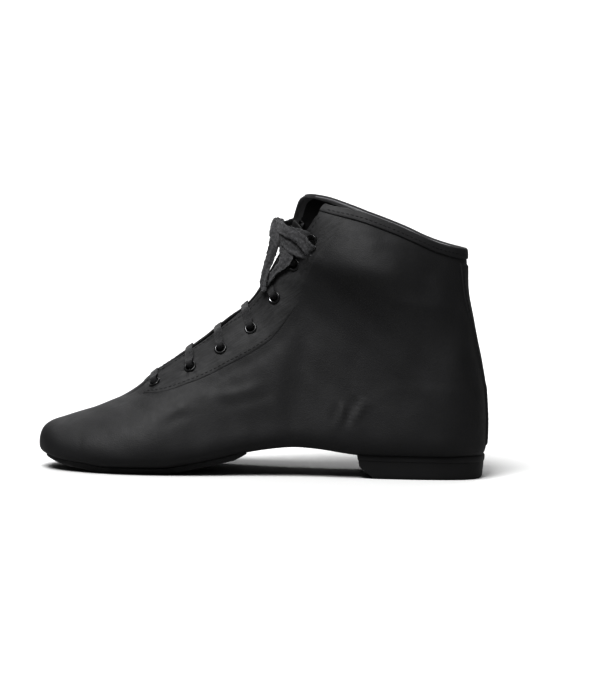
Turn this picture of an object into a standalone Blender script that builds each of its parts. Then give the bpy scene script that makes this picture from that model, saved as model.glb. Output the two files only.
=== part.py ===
"""Lace-up jazz boot for the right foot, with a split sole, standing empty on its forefoot and heel.

The toe points to -X, the inner side of the foot to -Y, and the floor is Z = 0. Every table and named
size is in millimetres, and MM turns them into metres. The upper is a fan of sections: each one runs
from a point on the ridge over the toes and the instep to a point under the foot or behind the heel.
The tongue, eyestays, collar band, back strip, eyelets and lace are all placed on that one surface,
and the soles and the insole follow its flat underside.
"""

import math

import bmesh
import bpy
import numpy as np
from mathutils import Matrix, Vector

for old in list(bpy.data.objects):
    bpy.data.objects.remove(old, do_unlink=True)

MM = 0.001
CENTRE_X, CENTRE_Y = 0.4, 0.95
INNER, OUTER = -1, 1
SIDES = {"inner": INNER, "outer": OUTER}

# Thicknesses and clearances
WALL = 1.5
GAP = 0.3
OVERLAY = 0.8
TONGUE_THICK = 1.6
TONGUE_CLEAR = 0.9
INSOLE_THICK = 2.0
INSOLE_CLEAR = 0.6
SOLE_THICK = 2.8
SOLE_FRONT_THICK = 1.3

# Sections from the toe to the collar: the ridge point, the end point under or behind the foot, the
# half-widths, the middle line, where along the section it is widest, how full its two halves are, and
# how many mesh rows lead to the next section. Ends under the foot lie deeper than the flat underside.
SECTION_COLUMNS = ("ridge_x", "ridge_z", "end_x", "end_z", "inner", "outer", "middle", "widest",
                   "crown", "belly", "rows")
SECTIONS = (
    (-125.0, 14.6, -125.0, 13.8, 0.0, 0.0, -9.5, 0.50, 2.0, 2.0, 1),
    (-123.3, 21.8, -123.3, 7.4, 9.5, 9.5, -9.2, 0.50, 2.0, 2.1, 2),
    (-118.2, 26.2, -118.2, 1.6, 18.5, 19.5, -8.2, 0.51, 2.0, 2.2, 2),
    (-109.0, 29.2, -109.0, -3.0, 26.5, 28.5, -6.6, 0.53, 2.0, 2.3, 2),
    (-95.0, 33.6, -95.0, -6.0, 33.5, 36.5, -4.2, 0.56, 2.0, 2.4, 2),
    (-78.0, 41.8, -78.0, -7.0, 38.5, 41.5, -2.0, 0.60, 2.0, 2.5, 2),
    (-60.0, 55.4, -58.0, -7.0, 40.5, 43.0, 0.0, 0.64, 1.9, 2.5, 2),
    (-42.0, 69.6, -34.0, -4.0, 37.5, 41.0, 1.0, 0.68, 1.85, 2.5, 2),
    (-24.0, 84.4, -6.0, 3.0, 33.5, 37.5, 1.0, 0.72, 1.85, 2.5, 2),
    (-9.0, 98.6, 26.0, 5.5, 31.0, 34.5, 0.5, 0.74, 1.9, 2.5, 2),
    (0.0, 113.6, 62.0, 2.5, 31.0, 33.0, 0.0, 0.72, 2.0, 2.6, 2),
    (5.6, 126.4, 98.0, 1.5, 31.5, 32.5, 0.0, 0.68, 2.0, 2.45, 3),
    (8.8, 134.8, 121.0, 8.5, 32.0, 32.5, 0.0, 0.63, 2.0, 2.3, 3),
    (10.8, 141.2, 124.6, 33.0, 32.0, 32.0, 0.0, 0.58, 2.0, 2.2, 2),
    (12.4, 146.6, 120.5, 65.0, 31.6, 31.6, 0.0, 0.55, 2.0, 2.1, 2),
    (13.7, 151.2, 113.0, 97.0, 28.8, 28.8, 0.0, 0.52, 2.0, 2.05, 3),
    (15.0, 156.0, 109.8, 128.0, 22.5, 22.5, 0.0, 0.50, 2.0, 2.0, 0),
)
COLLAR = len(SECTIONS) - 1

# The top line bows up towards the front and dips before the back, and fades out below the collar.
# On the inner side its front end sags: by how much, between which shares along it, from which section.
TOP_WAVES = (1.85, 1.86, 0.0, 0.57)
TOP_WAVE_START = 12.5
RIM_DIP, RIM_DIP_FROM, RIM_DIP_TO, RIM_DIP_START = 3.2, 0.17, 0.42, 14.0

# Underside of the upper along the foot: height over the floor
UNDER_COLUMNS = ("x", "z")
UNDER = (
    (-126.0, 9.5), (-113.0, 6.6), (-100.0, 4.9), (-86.0, 3.1), (-57.0, 3.1), (-42.0, 5.2),
    (-28.0, 8.2), (-13.0, 11.9), (2.0, 14.8), (18.0, 16.4), (32.0, 15.4), (46.0, 13.4), (58.0, 12.3),
    (126.0, 12.0),
)
FEATHER_ROUND = 5.0
ARCH_START, ARCH_TOP, ARCH_END = -50.0, 18.0, 60.0
OUTER_ARCH_DROP = 4.0
ARCH_DROP_FROM, ARCH_DROP_TO = -18.0, 26.0

# Throat by section number: half of the gap on each side, and how wide the eyestay is beside it
THROAT_COLUMNS = ("section", "inner", "outer", "stay")
THROAT = (
    (5.5, 0.0, 0.0, 20.0), (6.0, 5.0, 4.5, 26.0), (7.0, 8.0, 6.0, 29.0), (8.0, 8.8, 6.5, 28.5),
    (9.0, 9.0, 6.5, 28.0), (10.0, 9.8, 6.5, 25.0), (11.0, 10.8, 6.8, 22.0), (12.0, 12.6, 7.0, 20.0),
    (13.0, 15.5, 7.2, 19.0), (14.0, 18.3, 7.4, 18.0), (15.0, 19.5, 7.2, 18.0), (15.6, 18.1, 7.6, 18.0),
    (16.0, 16.9, 10.0, 18.0),
)
THROAT_BASE = THROAT[0][0]
STAY_COLUMNS, SIDE_COLUMNS, UNDER_COLUMNS_PER_SIDE = 4, 7, 4
LAST_COLUMN = STAY_COLUMNS + SIDE_COLUMNS + UNDER_COLUMNS_PER_SIDE
STAY_SHARE = 0.4
FEATHER_LAST = 12.0
STAY_FIRST, STAY_LAST = 5.6, 14.7

# Collar band and back strip
BAND_HEIGHT = 5.6
BAND_BELOW_EDGE = 0.2
STRIP_FIRST, STRIP_LAST, STRIP_ROWS = 12.45, 15.7, 9
STRIP_HALF_LOW, STRIP_HALF_TOP = 6.5, 11.0
STRIP_COLUMNS = 3

# Forefoot sole, heel, insole and the openings under the upper
SOLE_INSET, SOLE_REAR, SOLE_REAR_ROUND = 3.2, -14.5, 5.0
SOLE_TAPER = 14.0
HEEL_LEVEL_COLUMNS = ("height", "inset", "front")
HEEL_LEVELS = (
    (0.0, 1.2, 62.8), (1.0, 0.5, 61.0), (6.4, 0.1, 53.6), (11.6, -0.1, 53.0),
)
HEEL_BACK = 1.7
MIDDLE_ROWS = 6
INSOLE_INSET, INSOLE_REAR = 7.5, 113.0
SOLE_ROWS, SOLE_COLUMNS = 18, 7
INSOLE_ROWS, INSOLE_COLUMNS, INSOLE_REAR_ROUND = 20, 5, 2.0
HEEL_STEPS = 12
FEATHER_FIRST, FEATHER_STOP, FEATHER_STEP = 0.2, 14.0, 0.1
OPENING_SIDES, OPENING_LOW = 28, -5.0
OPENING_COLUMNS = ("front", "rear", "half", "middle", "top")
OPENINGS = {"forefoot": (-98.0, -26.0, 20.0, 0.5, 16.0), "heel": (70.0, 108.0, 13.0, 0.0, 18.0)}

# Eyelets up each side: section number and distance from the throat edge
EYELET_COLUMNS = ("section", "inset")
EYELETS = (
    (5.9, 13.0), (6.95, 15.3), (7.8, 14.5), (8.7, 13.6), (9.75, 10.8), (11.15, 8.6), (13.3, 7.2),
)
EYELET_HOLE, EYELET_BARREL, EYELET_FLANGE = 2.1, 2.55, 3.5
EYELET_CUT, CUT_REACH = 2.95, 4.0
EYELET_RISE, EYELET_BEVEL, EYELET_MOUTH = 0.8, 0.5, 0.35
EYELET_SIDES = 10

# Lace: strips between the eyelets, and round strands in the bow
LACE_WIDE, LACE_THICK, LACE_ROUND = 5.0, 1.2, 2.6
LACE_OVER_EYELET, LACE_OVER_STAY = 3.7, 2.3
LACE_STEPS = 8
KNOT_PLACE = (12.35, -1.0, 5.8)
KNOT_SIZE = (4.0, 4.2, 3.6)
KNOT_SIDES, KNOT_LEVELS = 10, 6

# Strands of the bow. Each leaves the knot in a direction (up the throat, towards the outer side, off
# the surface), and goes on through places: section number, distance from the ridge, height.
STRAND_LEAD = 3.0
STRAND_STEP = 5.5
LEAVING = {
    "tie_inner": ((0.1, -0.85, -0.5),),
    "tie_outer": ((0.1, 0.85, -0.5),),
    "loop_inner": ((0.65, -0.75, 0.15), (-0.1, -0.8, 0.6)),
    "loop_outer": ((0.65, 0.75, 0.15), (-0.1, 0.8, 0.6)),
    "end_inner": ((-0.75, -0.6, 0.1),),
    "end_outer": ((-0.8, 0.1, 0.6),),
}
PLACES = {
    "tie_inner": ((12.65, -12.0, 3.9), (12.97, -18.0, 3.9), (13.28, -27.0, 3.9)),
    "tie_outer": ((12.8, 9.0, 3.9), (13.25, 14.2, 3.9)),
    "loop_inner": ((12.75, -11.5, 8.4), (12.9, -18.3, 8.2), (12.95, -25.0, 7.6), (12.75, -30.0, 7.2),
                   (12.3, -30.0, 7.2), (12.0, -25.0, 7.4), (11.75, -18.0, 7.8)),
    "loop_outer": ((12.75, 9.0, 8.4), (12.9, 15.0, 8.2), (12.85, 21.5, 7.6), (12.6, 25.5, 7.2),
                   (12.2, 25.0, 7.2), (11.9, 20.0, 7.4), (11.75, 14.0, 7.8)),
    "end_inner": ((11.7, -9.5, 6.0), (11.2, -13.8, 5.6), (10.8, -15.4, 5.4), (10.45, -15.4, 5.3),
                  (10.2, -15.0, 5.3)),
    "end_outer": ((11.12, -6.4, 7.6), (10.5, -8.2, 7.0), (10.0, -10.2, 6.2), (9.6, -12.6, 5.4)),
}

DENSE = 240


def column(table, columns, name):
    """One named column of a table, as an array."""
    return np.array([row[columns.index(name)] for row in table], float)


def slopes_of(positions, values, level):
    """Slopes at the points of a curve. A level curve never runs past its own points."""
    steps = np.diff(values) / np.diff(positions)
    if not level:
        return np.gradient(values, positions)
    slopes = np.concatenate([[steps[0]], (steps[:-1] + steps[1:]) / 2, [steps[-1]]])
    turning = steps[:-1] * steps[1:] <= 0
    slopes[1:-1][turning] = 0.0
    limit = 3 * np.minimum(np.abs(steps[:-1]), np.abs(steps[1:]))
    slopes[1:-1] = np.clip(slopes[1:-1], -limit, limit)
    return slopes


def smooth_between(positions, values, at, level=False):
    """A cubic curve through the values at rising positions."""
    slopes = slopes_of(positions, values, level)
    i = int(np.clip(np.searchsorted(positions, at, side="right") - 1, 0, len(positions) - 2))
    width = positions[i + 1] - positions[i]
    t = float(np.clip((at - positions[i]) / width, 0.0, 1.0))
    start = (2 * t**3 - 3 * t**2 + 1) * values[i] + (t**3 - 2 * t**2 + t) * width * slopes[i]
    end = (3 * t**2 - 2 * t**3) * values[i + 1] + (t**3 - t**2) * width * slopes[i + 1]
    return float(start + end)


def smoothstep(low, high, at):
    t = np.clip((at - low) / (high - low), 0.0, 1.0)
    return t * t * (3 - 2 * t)


# The surface of the upper


def section_at(number):
    """The named sizes of the section at a whole or broken section number."""
    mirrored = {"ridge_z": "end_z", "end_z": "ridge_z"}
    negated = ("inner", "outer")
    positions = np.arange(-1, len(SECTIONS))
    found = {}
    for name in SECTION_COLUMNS[:-1]:
        values = column(SECTIONS, SECTION_COLUMNS, name)
        before = column(SECTIONS, SECTION_COLUMNS, mirrored.get(name, name))[1]
        if name in negated:
            before = -before
        found[name] = smooth_between(positions, np.concatenate([[before], values]), number)
    return found


UNDER_X = column(UNDER, UNDER_COLUMNS, "x")
UNDER_Z = column(UNDER, UNDER_COLUMNS, "z")
UNDER_FINE_X = np.linspace(UNDER_X[0], UNDER_X[-1], 600)
UNDER_FINE_Z = np.array([smooth_between(UNDER_X, UNDER_Z, x, level=True) for x in UNDER_FINE_X])


def under_height(x, y):
    """Height of the flat underside of the upper, lower on the outer side of the arch."""
    heights = np.interp(x, UNDER_FINE_X, UNDER_FINE_Z)
    arch = smoothstep(ARCH_START, ARCH_TOP, x) * (1 - smoothstep(ARCH_TOP, ARCH_END, x))
    return heights - OUTER_ARCH_DROP * arch * smoothstep(ARCH_DROP_FROM, ARCH_DROP_TO, y)


def half_section(number, side):
    """Dense points of one side of a section, from the ridge down to its end, before the flat underside."""
    size = section_at(number)
    angle = np.linspace(0.0, math.pi, DENSE)
    down, out = np.cos(angle), np.clip(np.sin(angle), 0.0, 1.0)
    upper_half = angle <= math.pi / 2
    power = np.where(upper_half, 2 / size["crown"], 2 / size["belly"])
    reach = np.abs(down) ** power
    widest = size["widest"]
    along = np.where(upper_half, widest * (1 - reach), widest + (1 - widest) * reach)
    half = size["inner"] if side == INNER else size["outer"]
    bow = sum(size_k * np.sin((k + 1) * math.pi * along) for k, size_k in enumerate(TOP_WAVES))
    x = size["ridge_x"] + along * (size["end_x"] - size["ridge_x"])
    y = size["middle"] + side * half * out**power
    z = size["ridge_z"] + along * (size["end_z"] - size["ridge_z"])
    z = z + bow * smoothstep(TOP_WAVE_START, COLLAR, number)
    if side == INNER:
        dip = RIM_DIP * (1 - smoothstep(RIM_DIP_FROM, RIM_DIP_TO, along))
        z = z - dip * smoothstep(RIM_DIP_START, COLLAR, number)
    return np.stack([x, y, z], axis=1)


def flattened(points):
    """The points with everything below the underside pressed up to it, round at the edge."""
    floor = under_height(points[:, 0], points[:, 1])
    blend = np.clip(FEATHER_ROUND - np.abs(points[:, 2] - floor), 0.0, None)
    lifted = np.maximum(points[:, 2], floor) + blend**2 / (4 * FEATHER_ROUND)
    return np.column_stack([points[:, 0], points[:, 1], lifted])


def throat_size(number, name):
    """A named size of the throat at a section."""
    sections = column(THROAT, THROAT_COLUMNS, "section")
    return smooth_between(sections, column(THROAT, THROAT_COLUMNS, name), number, level=True)


def throat_gap(number, side):
    if number <= THROAT_BASE:
        return 0.0
    return throat_size(number, "inner" if side == INNER else "outer")


def girth_line(number, side, from_ridge=False):
    """Points from the throat edge (or the ridge) down to the section's end, and their distance along it."""
    points = flattened(half_section(number, side))
    if not from_ridge and number > THROAT_BASE:
        offset = np.abs(points[:, 1] - section_at(number)["middle"])
        first = int(np.argmax(offset >= throat_gap(number, side)))
        points = points[first:]
    steps = np.linalg.norm(np.diff(points, axis=0), axis=1)
    return points, np.concatenate([[0.0], np.cumsum(steps)])


def at_distance(line, distance, where):
    return np.stack([np.interp(where, distance, line[:, k]) for k in range(3)], axis=-1)


def feather_index(points):
    """The first dense point of a half section that lies under the foot, or None."""
    deep = points[:, 2] - under_height(points[:, 0], points[:, 1])
    below = np.flatnonzero((deep < 0) & (np.arange(DENSE) > DENSE // 2))
    return below[0] if len(below) else None


def column_places(number, side):
    """Distances from the throat edge of the mesh columns: eyestay, side, then under the foot."""
    distance = girth_line(number, side)[1]
    whole = distance[-1]
    stay = min(throat_size(number, "stay"), STAY_SHARE * whole)
    even = stay + (whole - stay) * SIDE_COLUMNS / (SIDE_COLUMNS + UNDER_COLUMNS_PER_SIDE)
    turn = feather_index(half_section(min(number, FEATHER_LAST), side))
    edge = even
    if turn is not None:
        full = girth_line(min(number, FEATHER_LAST), side, from_ridge=True)[1]
        edge = whole - (full[-1] - full[turn])
    edge += (even - edge) * smoothstep(FEATHER_LAST, COLLAR, number)
    return np.concatenate([
        np.linspace(0.0, stay, STAY_COLUMNS + 1),
        np.linspace(stay, edge, SIDE_COLUMNS + 1)[1:],
        np.linspace(edge, whole, UNDER_COLUMNS_PER_SIDE + 1)[1:],
    ])


def girth_columns(number, side):
    """The mesh points of one side of a section."""
    return at_distance(*girth_line(number, side), column_places(number, side))


def surface_point(number, side, where, from_ridge=False):
    """The outer surface at a distance from the throat edge, or from the ridge."""
    line, distance = girth_line(number, side, from_ridge)
    return at_distance(line, distance, where)


def surface_frame(number, side, where, from_ridge=False):
    """Point, outward normal and direction towards the collar on the outer surface."""
    apart = 0.05
    step = 0.5
    here = surface_point(number, side, where, from_ridge)
    along = surface_point(min(number + apart, COLLAR), side, where, from_ridge)
    along = along - surface_point(number - apart, side, where, from_ridge)
    down = surface_point(number, side, where + step, from_ridge)
    down = down - surface_point(number, side, max(where - step, 0.0), from_ridge)
    normal = np.cross(along, down) * side
    return here, normal / np.linalg.norm(normal), along / np.linalg.norm(along)


def ridge_frame(number, across):
    """Point and normal on the closed surface over the throat, at a signed distance from the ridge."""
    side = OUTER if across > 0 else INNER
    point, normal, _ = surface_frame(number, side, abs(across), from_ridge=True)
    if abs(across) < 1.0:
        other = surface_frame(number, -side, abs(across), from_ridge=True)[1]
        normal = (normal + other) / np.linalg.norm(normal + other)
    return point, normal


def row_numbers():
    """Section numbers of the mesh rows, from the toe to the collar."""
    numbers = []
    for i, steps in enumerate(column(SECTIONS, SECTION_COLUMNS, "rows").astype(int)):
        numbers += [i + k / steps for k in range(steps)]
    return numbers + [float(COLLAR)]


# Objects and materials


def material(name, colour, roughness, metallic=0.0):
    made = bpy.data.materials.new(name)
    made.use_nodes = True
    shader = made.node_tree.nodes["Principled BSDF"]
    shader.inputs["Base Color"].default_value = (*colour, 1.0)
    shader.inputs["Roughness"].default_value = roughness
    shader.inputs["Metallic"].default_value = metallic
    return made


def add_object(name, points, faces, finish):
    """An object from points in millimetres, with its faces turned outwards."""
    mesh = bpy.data.meshes.new(name)
    mesh.from_pydata([tuple(MM * float(c) for c in p) for p in points], [], [tuple(f) for f in faces])
    shape = bmesh.new()
    shape.from_mesh(mesh)
    bmesh.ops.remove_doubles(shape, verts=shape.verts, dist=1e-6)
    bmesh.ops.recalc_face_normals(shape, faces=shape.faces)
    shape.to_mesh(mesh)
    shape.free()
    made = bpy.data.objects.new(name, mesh)
    bpy.context.scene.collection.objects.link(made)
    made.parent = boot
    mesh.shade_smooth()
    mesh.set_sharp_from_angle(angle=math.radians(50))
    mesh.materials.append(finish)
    return made


def helper(made):
    """Marks a solid that only serves to cut or join others."""
    made.hide_render = True
    made.display_type = "WIRE"
    return made


def combine(target, tool, operation):
    modifier = target.modifiers.new(operation.lower() + "_" + tool.name, "BOOLEAN")
    modifier.operation = operation
    modifier.solver = "EXACT"
    modifier.object = tool


def loft(rings):
    """Points and faces of a closed tube through rings of equal length."""
    count = len(rings[0])
    points = [p for ring in rings for p in ring]
    faces = []
    for i in range(len(rings) - 1):
        for j in range(count):
            k = (j + 1) % count
            faces.append((i * count + j, i * count + k, (i + 1) * count + k, (i + 1) * count + j))
    faces.append(tuple(reversed(range(count))))
    faces.append(tuple((len(rings) - 1) * count + j for j in range(count)))
    return points, faces


def plate(low, high):
    """Points and faces of a closed sheet between two grids of points."""
    rows, columns = len(low), len(low[0])
    points = [p for grid in (low, high) for row in grid for p in row]
    top = rows * columns
    faces = []
    for r in range(rows - 1):
        for c in range(columns - 1):
            a = r * columns + c
            faces.append((a, a + 1, a + columns + 1, a + columns))
            faces.append((top + a + columns, top + a + columns + 1, top + a + 1, top + a))
    edge = list(range(columns))
    edge += [r * columns + columns - 1 for r in range(1, rows)]
    edge += [(rows - 1) * columns + c for c in range(columns - 2, -1, -1)]
    edge += [r * columns for r in range(rows - 2, 0, -1)]
    for a, b in zip(edge, edge[1:] + edge[:1]):
        faces.append((b, a, top + a, top + b))
    return points, faces


def between_offsets(frames, low, high):
    """Points and faces of a sheet between two distances from a grid of surface points and normals."""
    return plate([[p + low * n for p, n in row] for row in frames],
                 [[p + high * n for p, n in row] for row in frames])


# Upper, eyestays, collar band, back strip and tongue


def upper_sheet():
    """Outer points and faces of the upper: a sheet open at the throat and the collar."""
    points = []
    index = {}
    numbers = row_numbers()
    tip = section_at(0)
    points.append(np.array([tip["ridge_x"], tip["middle"], tip["ridge_z"]]))
    for r, number in enumerate(numbers[1:], start=1):
        for side in (INNER, OUTER):
            for c, point in enumerate(girth_columns(number, side)):
                shared = c == LAST_COLUMN or (c == 0 and number <= THROAT_BASE)
                if side == OUTER and shared:
                    index[r, side, c] = index[r, INNER, c]
                    continue
                index[r, side, c] = len(points)
                points.append(point)
    faces = []
    for side in (INNER, OUTER):
        for c in range(LAST_COLUMN):
            faces.append((0, index[1, side, c], index[1, side, c + 1]))
            for r in range(1, len(numbers) - 1):
                faces.append((index[r, side, c], index[r, side, c + 1], index[r + 1, side, c + 1],
                              index[r + 1, side, c]))
    return points, faces


def build_upper():
    """The hollow upper: a wall inside the sheet, open under the forefoot and the heel."""
    made = add_object("upper", *upper_sheet(), LEATHER)
    wall = made.modifiers.new("wall", "SOLIDIFY")
    wall.thickness = WALL * MM
    wall.offset = -1.0
    wall.use_rim = True
    for name, row in OPENINGS.items():
        size = dict(zip(OPENING_COLUMNS, row))
        centre = (size["front"] + size["rear"]) / 2
        length = (size["rear"] - size["front"]) / 2
        angles = np.linspace(0.0, 2 * math.pi, OPENING_SIDES, endpoint=False)
        rings = []
        for height in (OPENING_LOW, size["top"]):
            rings.append([(centre + length * math.cos(a), size["middle"] + size["half"] * math.sin(a), height)
                          for a in angles])
        combine(made, helper(add_object(name + "_opening", *loft(rings), CUTTER)), "DIFFERENCE")
    return made


def build_eyestay(name, side):
    """Doubled leather beside the throat, on the upper's own mesh columns."""
    rows = [n for n in row_numbers() if STAY_FIRST <= n < STAY_LAST] + [STAY_LAST]
    frames = []
    for number in rows:
        places = np.linspace(0.0, throat_size(number, "stay"), STAY_COLUMNS + 1)
        frames.append([surface_frame(number, side, d)[:2] for d in places])
    return add_object(name, *between_offsets(frames, GAP, GAP + OVERLAY), STAY_LEATHER)


def build_collar_band():
    """Folded band round the top edge, from the inner throat edge round the back to the outer one."""
    around = [(INNER, c) for c in range(LAST_COLUMN + 1)]
    around += [(OUTER, c) for c in range(LAST_COLUMN - 1, -1, -1)]
    frames = []
    for side, c in around:
        top = girth_columns(COLLAR, side)[c]
        length = np.linalg.norm(top - girth_columns(COLLAR - 1, side)[c])
        row = []
        for down in (BAND_BELOW_EDGE, BAND_HEIGHT / 2, BAND_HEIGHT):
            number = COLLAR - down / length
            row.append(surface_frame(number, side, column_places(number, side)[c])[:2])
        frames.append(row)
    return add_object("collar_band", *between_offsets(frames, GAP, GAP + OVERLAY), LEATHER)


def build_back_strip():
    """Strip over the back seam, widening upwards, from the heel to the collar band."""
    frames = []
    for number in np.linspace(STRIP_FIRST, STRIP_LAST, STRIP_ROWS):
        share = (number - STRIP_FIRST) / (STRIP_LAST - STRIP_FIRST)
        half = STRIP_HALF_LOW + share * (STRIP_HALF_TOP - STRIP_HALF_LOW)
        row = []
        for side, steps in ((INNER, range(STRIP_COLUMNS, -1, -1)), (OUTER, range(1, STRIP_COLUMNS + 1))):
            end = girth_line(number, side)[1][-1]
            row += [surface_frame(number, side, end - half * k / STRIP_COLUMNS)[:2] for k in steps]
        frames.append(row)
    return add_object("back_strip", *between_offsets(frames, GAP, GAP + OVERLAY), LEATHER)


TONGUE_COLUMNS = ("section", "half")
TONGUE = ((4.6, 9.0), (5.0, 13.0), (6.0, 17.0), (7.0, 20.0), (8.0, 22.0), (9.0, 23.0), (10.0, 24.0),
          (11.2, 24.5), (12.2, 23.0), (12.7, 20.5), (13.0, 16.5), (13.15, 12.5))
TONGUE_ACROSS = 6


def build_tongue():
    """A sheet under the throat, just inside the upper's wall."""
    frames = []
    for number, half in TONGUE:
        frames.append([ridge_frame(number, a) for a in np.linspace(-half, half, TONGUE_ACROSS + 1)])
    inside = WALL + TONGUE_CLEAR
    return add_object("tongue", *between_offsets(frames, -inside - TONGUE_THICK, -inside), TONGUE_LEATHER)


# Soles and insole


def feather_edge(side):
    """The edge where one side of the upper turns under the foot, as points from the toe to the heel."""
    found = []
    for number in np.arange(FEATHER_FIRST, FEATHER_STOP, FEATHER_STEP):
        points = half_section(number, side)
        turn = feather_index(points)
        if turn is not None:
            found.append(points[turn, :2])
    found = np.array(found)
    found = found[np.argsort(found[:, 0])]
    return np.vstack([found, (found[-1, 0] + HEEL_BACK, 0.0)])


def inset_edge(side, inset):
    """The feather edge moved inwards, cut to the part that stays on its own side."""
    edge = feather_edge(side)
    along = np.gradient(edge, axis=0)
    along /= np.linalg.norm(along, axis=1)[:, None]
    inward = np.stack([-along[:, 1], along[:, 0]], axis=1) * -side
    moved = edge + inset * inward
    moved[-1] = (edge[-1, 0] - inset, 0.0)
    return moved[np.argsort(moved[:, 0])]


def half_widths(inset):
    """Functions that give the two edges of an inset outline at x, and the ends of the outline."""
    edges = {side: inset_edge(side, inset) for side in (INNER, OUTER)}
    middle_x = np.append(column(SECTIONS, SECTION_COLUMNS, "ridge_x")[:MIDDLE_ROWS], 0.0)
    middle_y = np.append(column(SECTIONS, SECTION_COLUMNS, "middle")[:MIDDLE_ROWS], 0.0)
    ends = []
    for edge in edges.values():
        offset = (edge[:, 1] - np.interp(edge[:, 0], middle_x, middle_y)) * np.sign(edge[len(edge) // 2, 1])
        inside = edge[offset >= 0]
        ends.append((inside[0, 0], inside[-1, 0]))
    front, rear = max(e[0] for e in ends), min(e[1] for e in ends)

    def width(x, side):
        edge = edges[side]
        middle = np.interp(x, middle_x, middle_y)
        offset = np.interp(x, edge[:, 0], side * (edge[:, 1] - np.interp(edge[:, 0], middle_x, middle_y)))
        return middle + side * max(offset, 0.0)
    return width, front, rear


def flat_grid(inset, front, rear, rows, columns, rear_round):
    """Plan places of a sheet under the foot, round at its front and with a bowed rear edge."""
    width, first, last = half_widths(inset)
    start, stop = max(front, first), min(rear, last)
    grid = []
    for r in range(rows):
        share = 1 - math.cos(r / (rows - 1) * math.pi / 2)
        x = start + (stop - start) * share
        inner, outer = width(x, INNER), width(x, OUTER)
        row = []
        for c in range(columns):
            across = c / (columns - 1)
            bowed = x + rear_round * share**3 * (1 - (2 * across - 1) ** 2)
            row.append((bowed, inner + across * (outer - inner)))
        grid.append(row)
    return grid


def build_forefoot_sole():
    """Thin sole patch under toes and ball, skived at the front and flat where it stands."""
    grid = flat_grid(SOLE_INSET, UNDER_X[0], SOLE_REAR, SOLE_ROWS, SOLE_COLUMNS, SOLE_REAR_ROUND)
    front = grid[0][0][0]
    low, high = [], []
    for row in grid:
        tops = [under_height(x, y) - GAP for x, y in row]
        full = smoothstep(front, front + SOLE_TAPER, row[0][0])
        thick = SOLE_FRONT_THICK + (SOLE_THICK - SOLE_FRONT_THICK) * full
        high.append([(x, y, t) for (x, y), t in zip(row, tops)])
        low.append([(x, y, max(t - thick, 0.0)) for (x, y), t in zip(row, tops)])
    return add_object("forefoot_sole", *plate(low, high), SOLE)


def build_insole():
    grid = flat_grid(INSOLE_INSET, UNDER_X[0], INSOLE_REAR, INSOLE_ROWS, INSOLE_COLUMNS, INSOLE_REAR_ROUND)
    base = WALL + INSOLE_CLEAR
    low = [[(x, y, under_height(x, y) + base) for x, y in row] for row in grid]
    high = [[(x, y, under_height(x, y) + base + INSOLE_THICK) for x, y in row] for row in grid]
    return add_object("insole", *plate(low, high), LINING)


def build_heel():
    """Low heel block with a bevelled front and a round back, under the heel seat."""
    rings = []
    for row in HEEL_LEVELS:
        level = dict(zip(HEEL_LEVEL_COLUMNS, row))
        width, _, rear = half_widths(level["inset"])
        shares = [math.sin(k / HEEL_STEPS * math.pi / 2) for k in range(HEEL_STEPS + 1)]
        xs = [level["front"] + (rear - level["front"]) * s for s in shares]
        ring = [(x, width(x, INNER)) for x in xs] + [(x, width(x, OUTER)) for x in reversed(xs[:-1])]
        top = level["height"] == HEEL_LEVELS[-1][0]
        rings.append([(x, y, under_height(x, y) - GAP if top else level["height"]) for x, y in ring])
    return add_object("heel", *loft(rings), HEEL)


# Eyelets and lace


def eyelet_frame(k, side):
    """Point, normal and upward direction of one eyelet on the outer surface."""
    number, inset = EYELETS[k]
    return surface_frame(number, side, inset)


def place_on(made, point, normal, along):
    """Puts an object's origin on a point, its Z along the normal and its X along the throat."""
    z = Vector(normal)
    x = (Vector(along) - Vector(along).dot(z) * z).normalized()
    y = z.cross(x)
    made.matrix_local = Matrix.Translation(Vector(point) * MM) @ Matrix((x, y, z)).transposed().to_4x4()


def turned(profile, sides):
    """Points and faces of a ring turned from a closed profile of radius and height."""
    count = len(profile)
    points = []
    for s in range(sides):
        angle = 2 * math.pi * s / sides
        points += [(r * math.cos(angle), r * math.sin(angle), h) for r, h in profile]
    faces = []
    for s in range(sides):
        for j in range(count):
            a, b = s * count + j, s * count + (j + 1) % count
            c, d = (s + 1) % sides * count + j, (s + 1) % sides * count + (j + 1) % count
            faces.append((a, c, d, b))
    return points, faces


def build_eyelets(targets):
    """Two rows of eyelets, each in a hole through the upper and its eyestay."""
    seat = 2 * GAP + OVERLAY
    profile = [(EYELET_HOLE, -WALL), (EYELET_BARREL, -WALL), (EYELET_BARREL, seat), (EYELET_FLANGE, seat),
               (EYELET_FLANGE - EYELET_BEVEL, seat + EYELET_RISE),
               (EYELET_HOLE + EYELET_MOUTH, seat + EYELET_RISE)]
    for name, side in SIDES.items():
        for k in range(len(EYELETS)):
            frame = eyelet_frame(k, side)
            made = add_object(f"eyelet_{name}_{k + 1}", *turned(profile, EYELET_SIDES), METAL)
            place_on(made, *frame)
            ring = [(EYELET_CUT * math.cos(2 * math.pi * j / EYELET_SIDES),
                     EYELET_CUT * math.sin(2 * math.pi * j / EYELET_SIDES)) for j in range(EYELET_SIDES)]
            rings = [[(x, y, h) for x, y in ring] for h in (-CUT_REACH, CUT_REACH)]
            tool = helper(add_object(f"hole_{name}_{k + 1}", *loft(rings), CUTTER))
            place_on(tool, *frame)
            combine(targets["upper"], tool, "DIFFERENCE")
            combine(targets[name], tool, "DIFFERENCE")


def edge_across(number, side):
    """Distance along the surface from the ridge to the throat edge."""
    whole = girth_line(number, side, from_ridge=True)[1][-1]
    return whole - girth_line(number, side)[1][-1]


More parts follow.
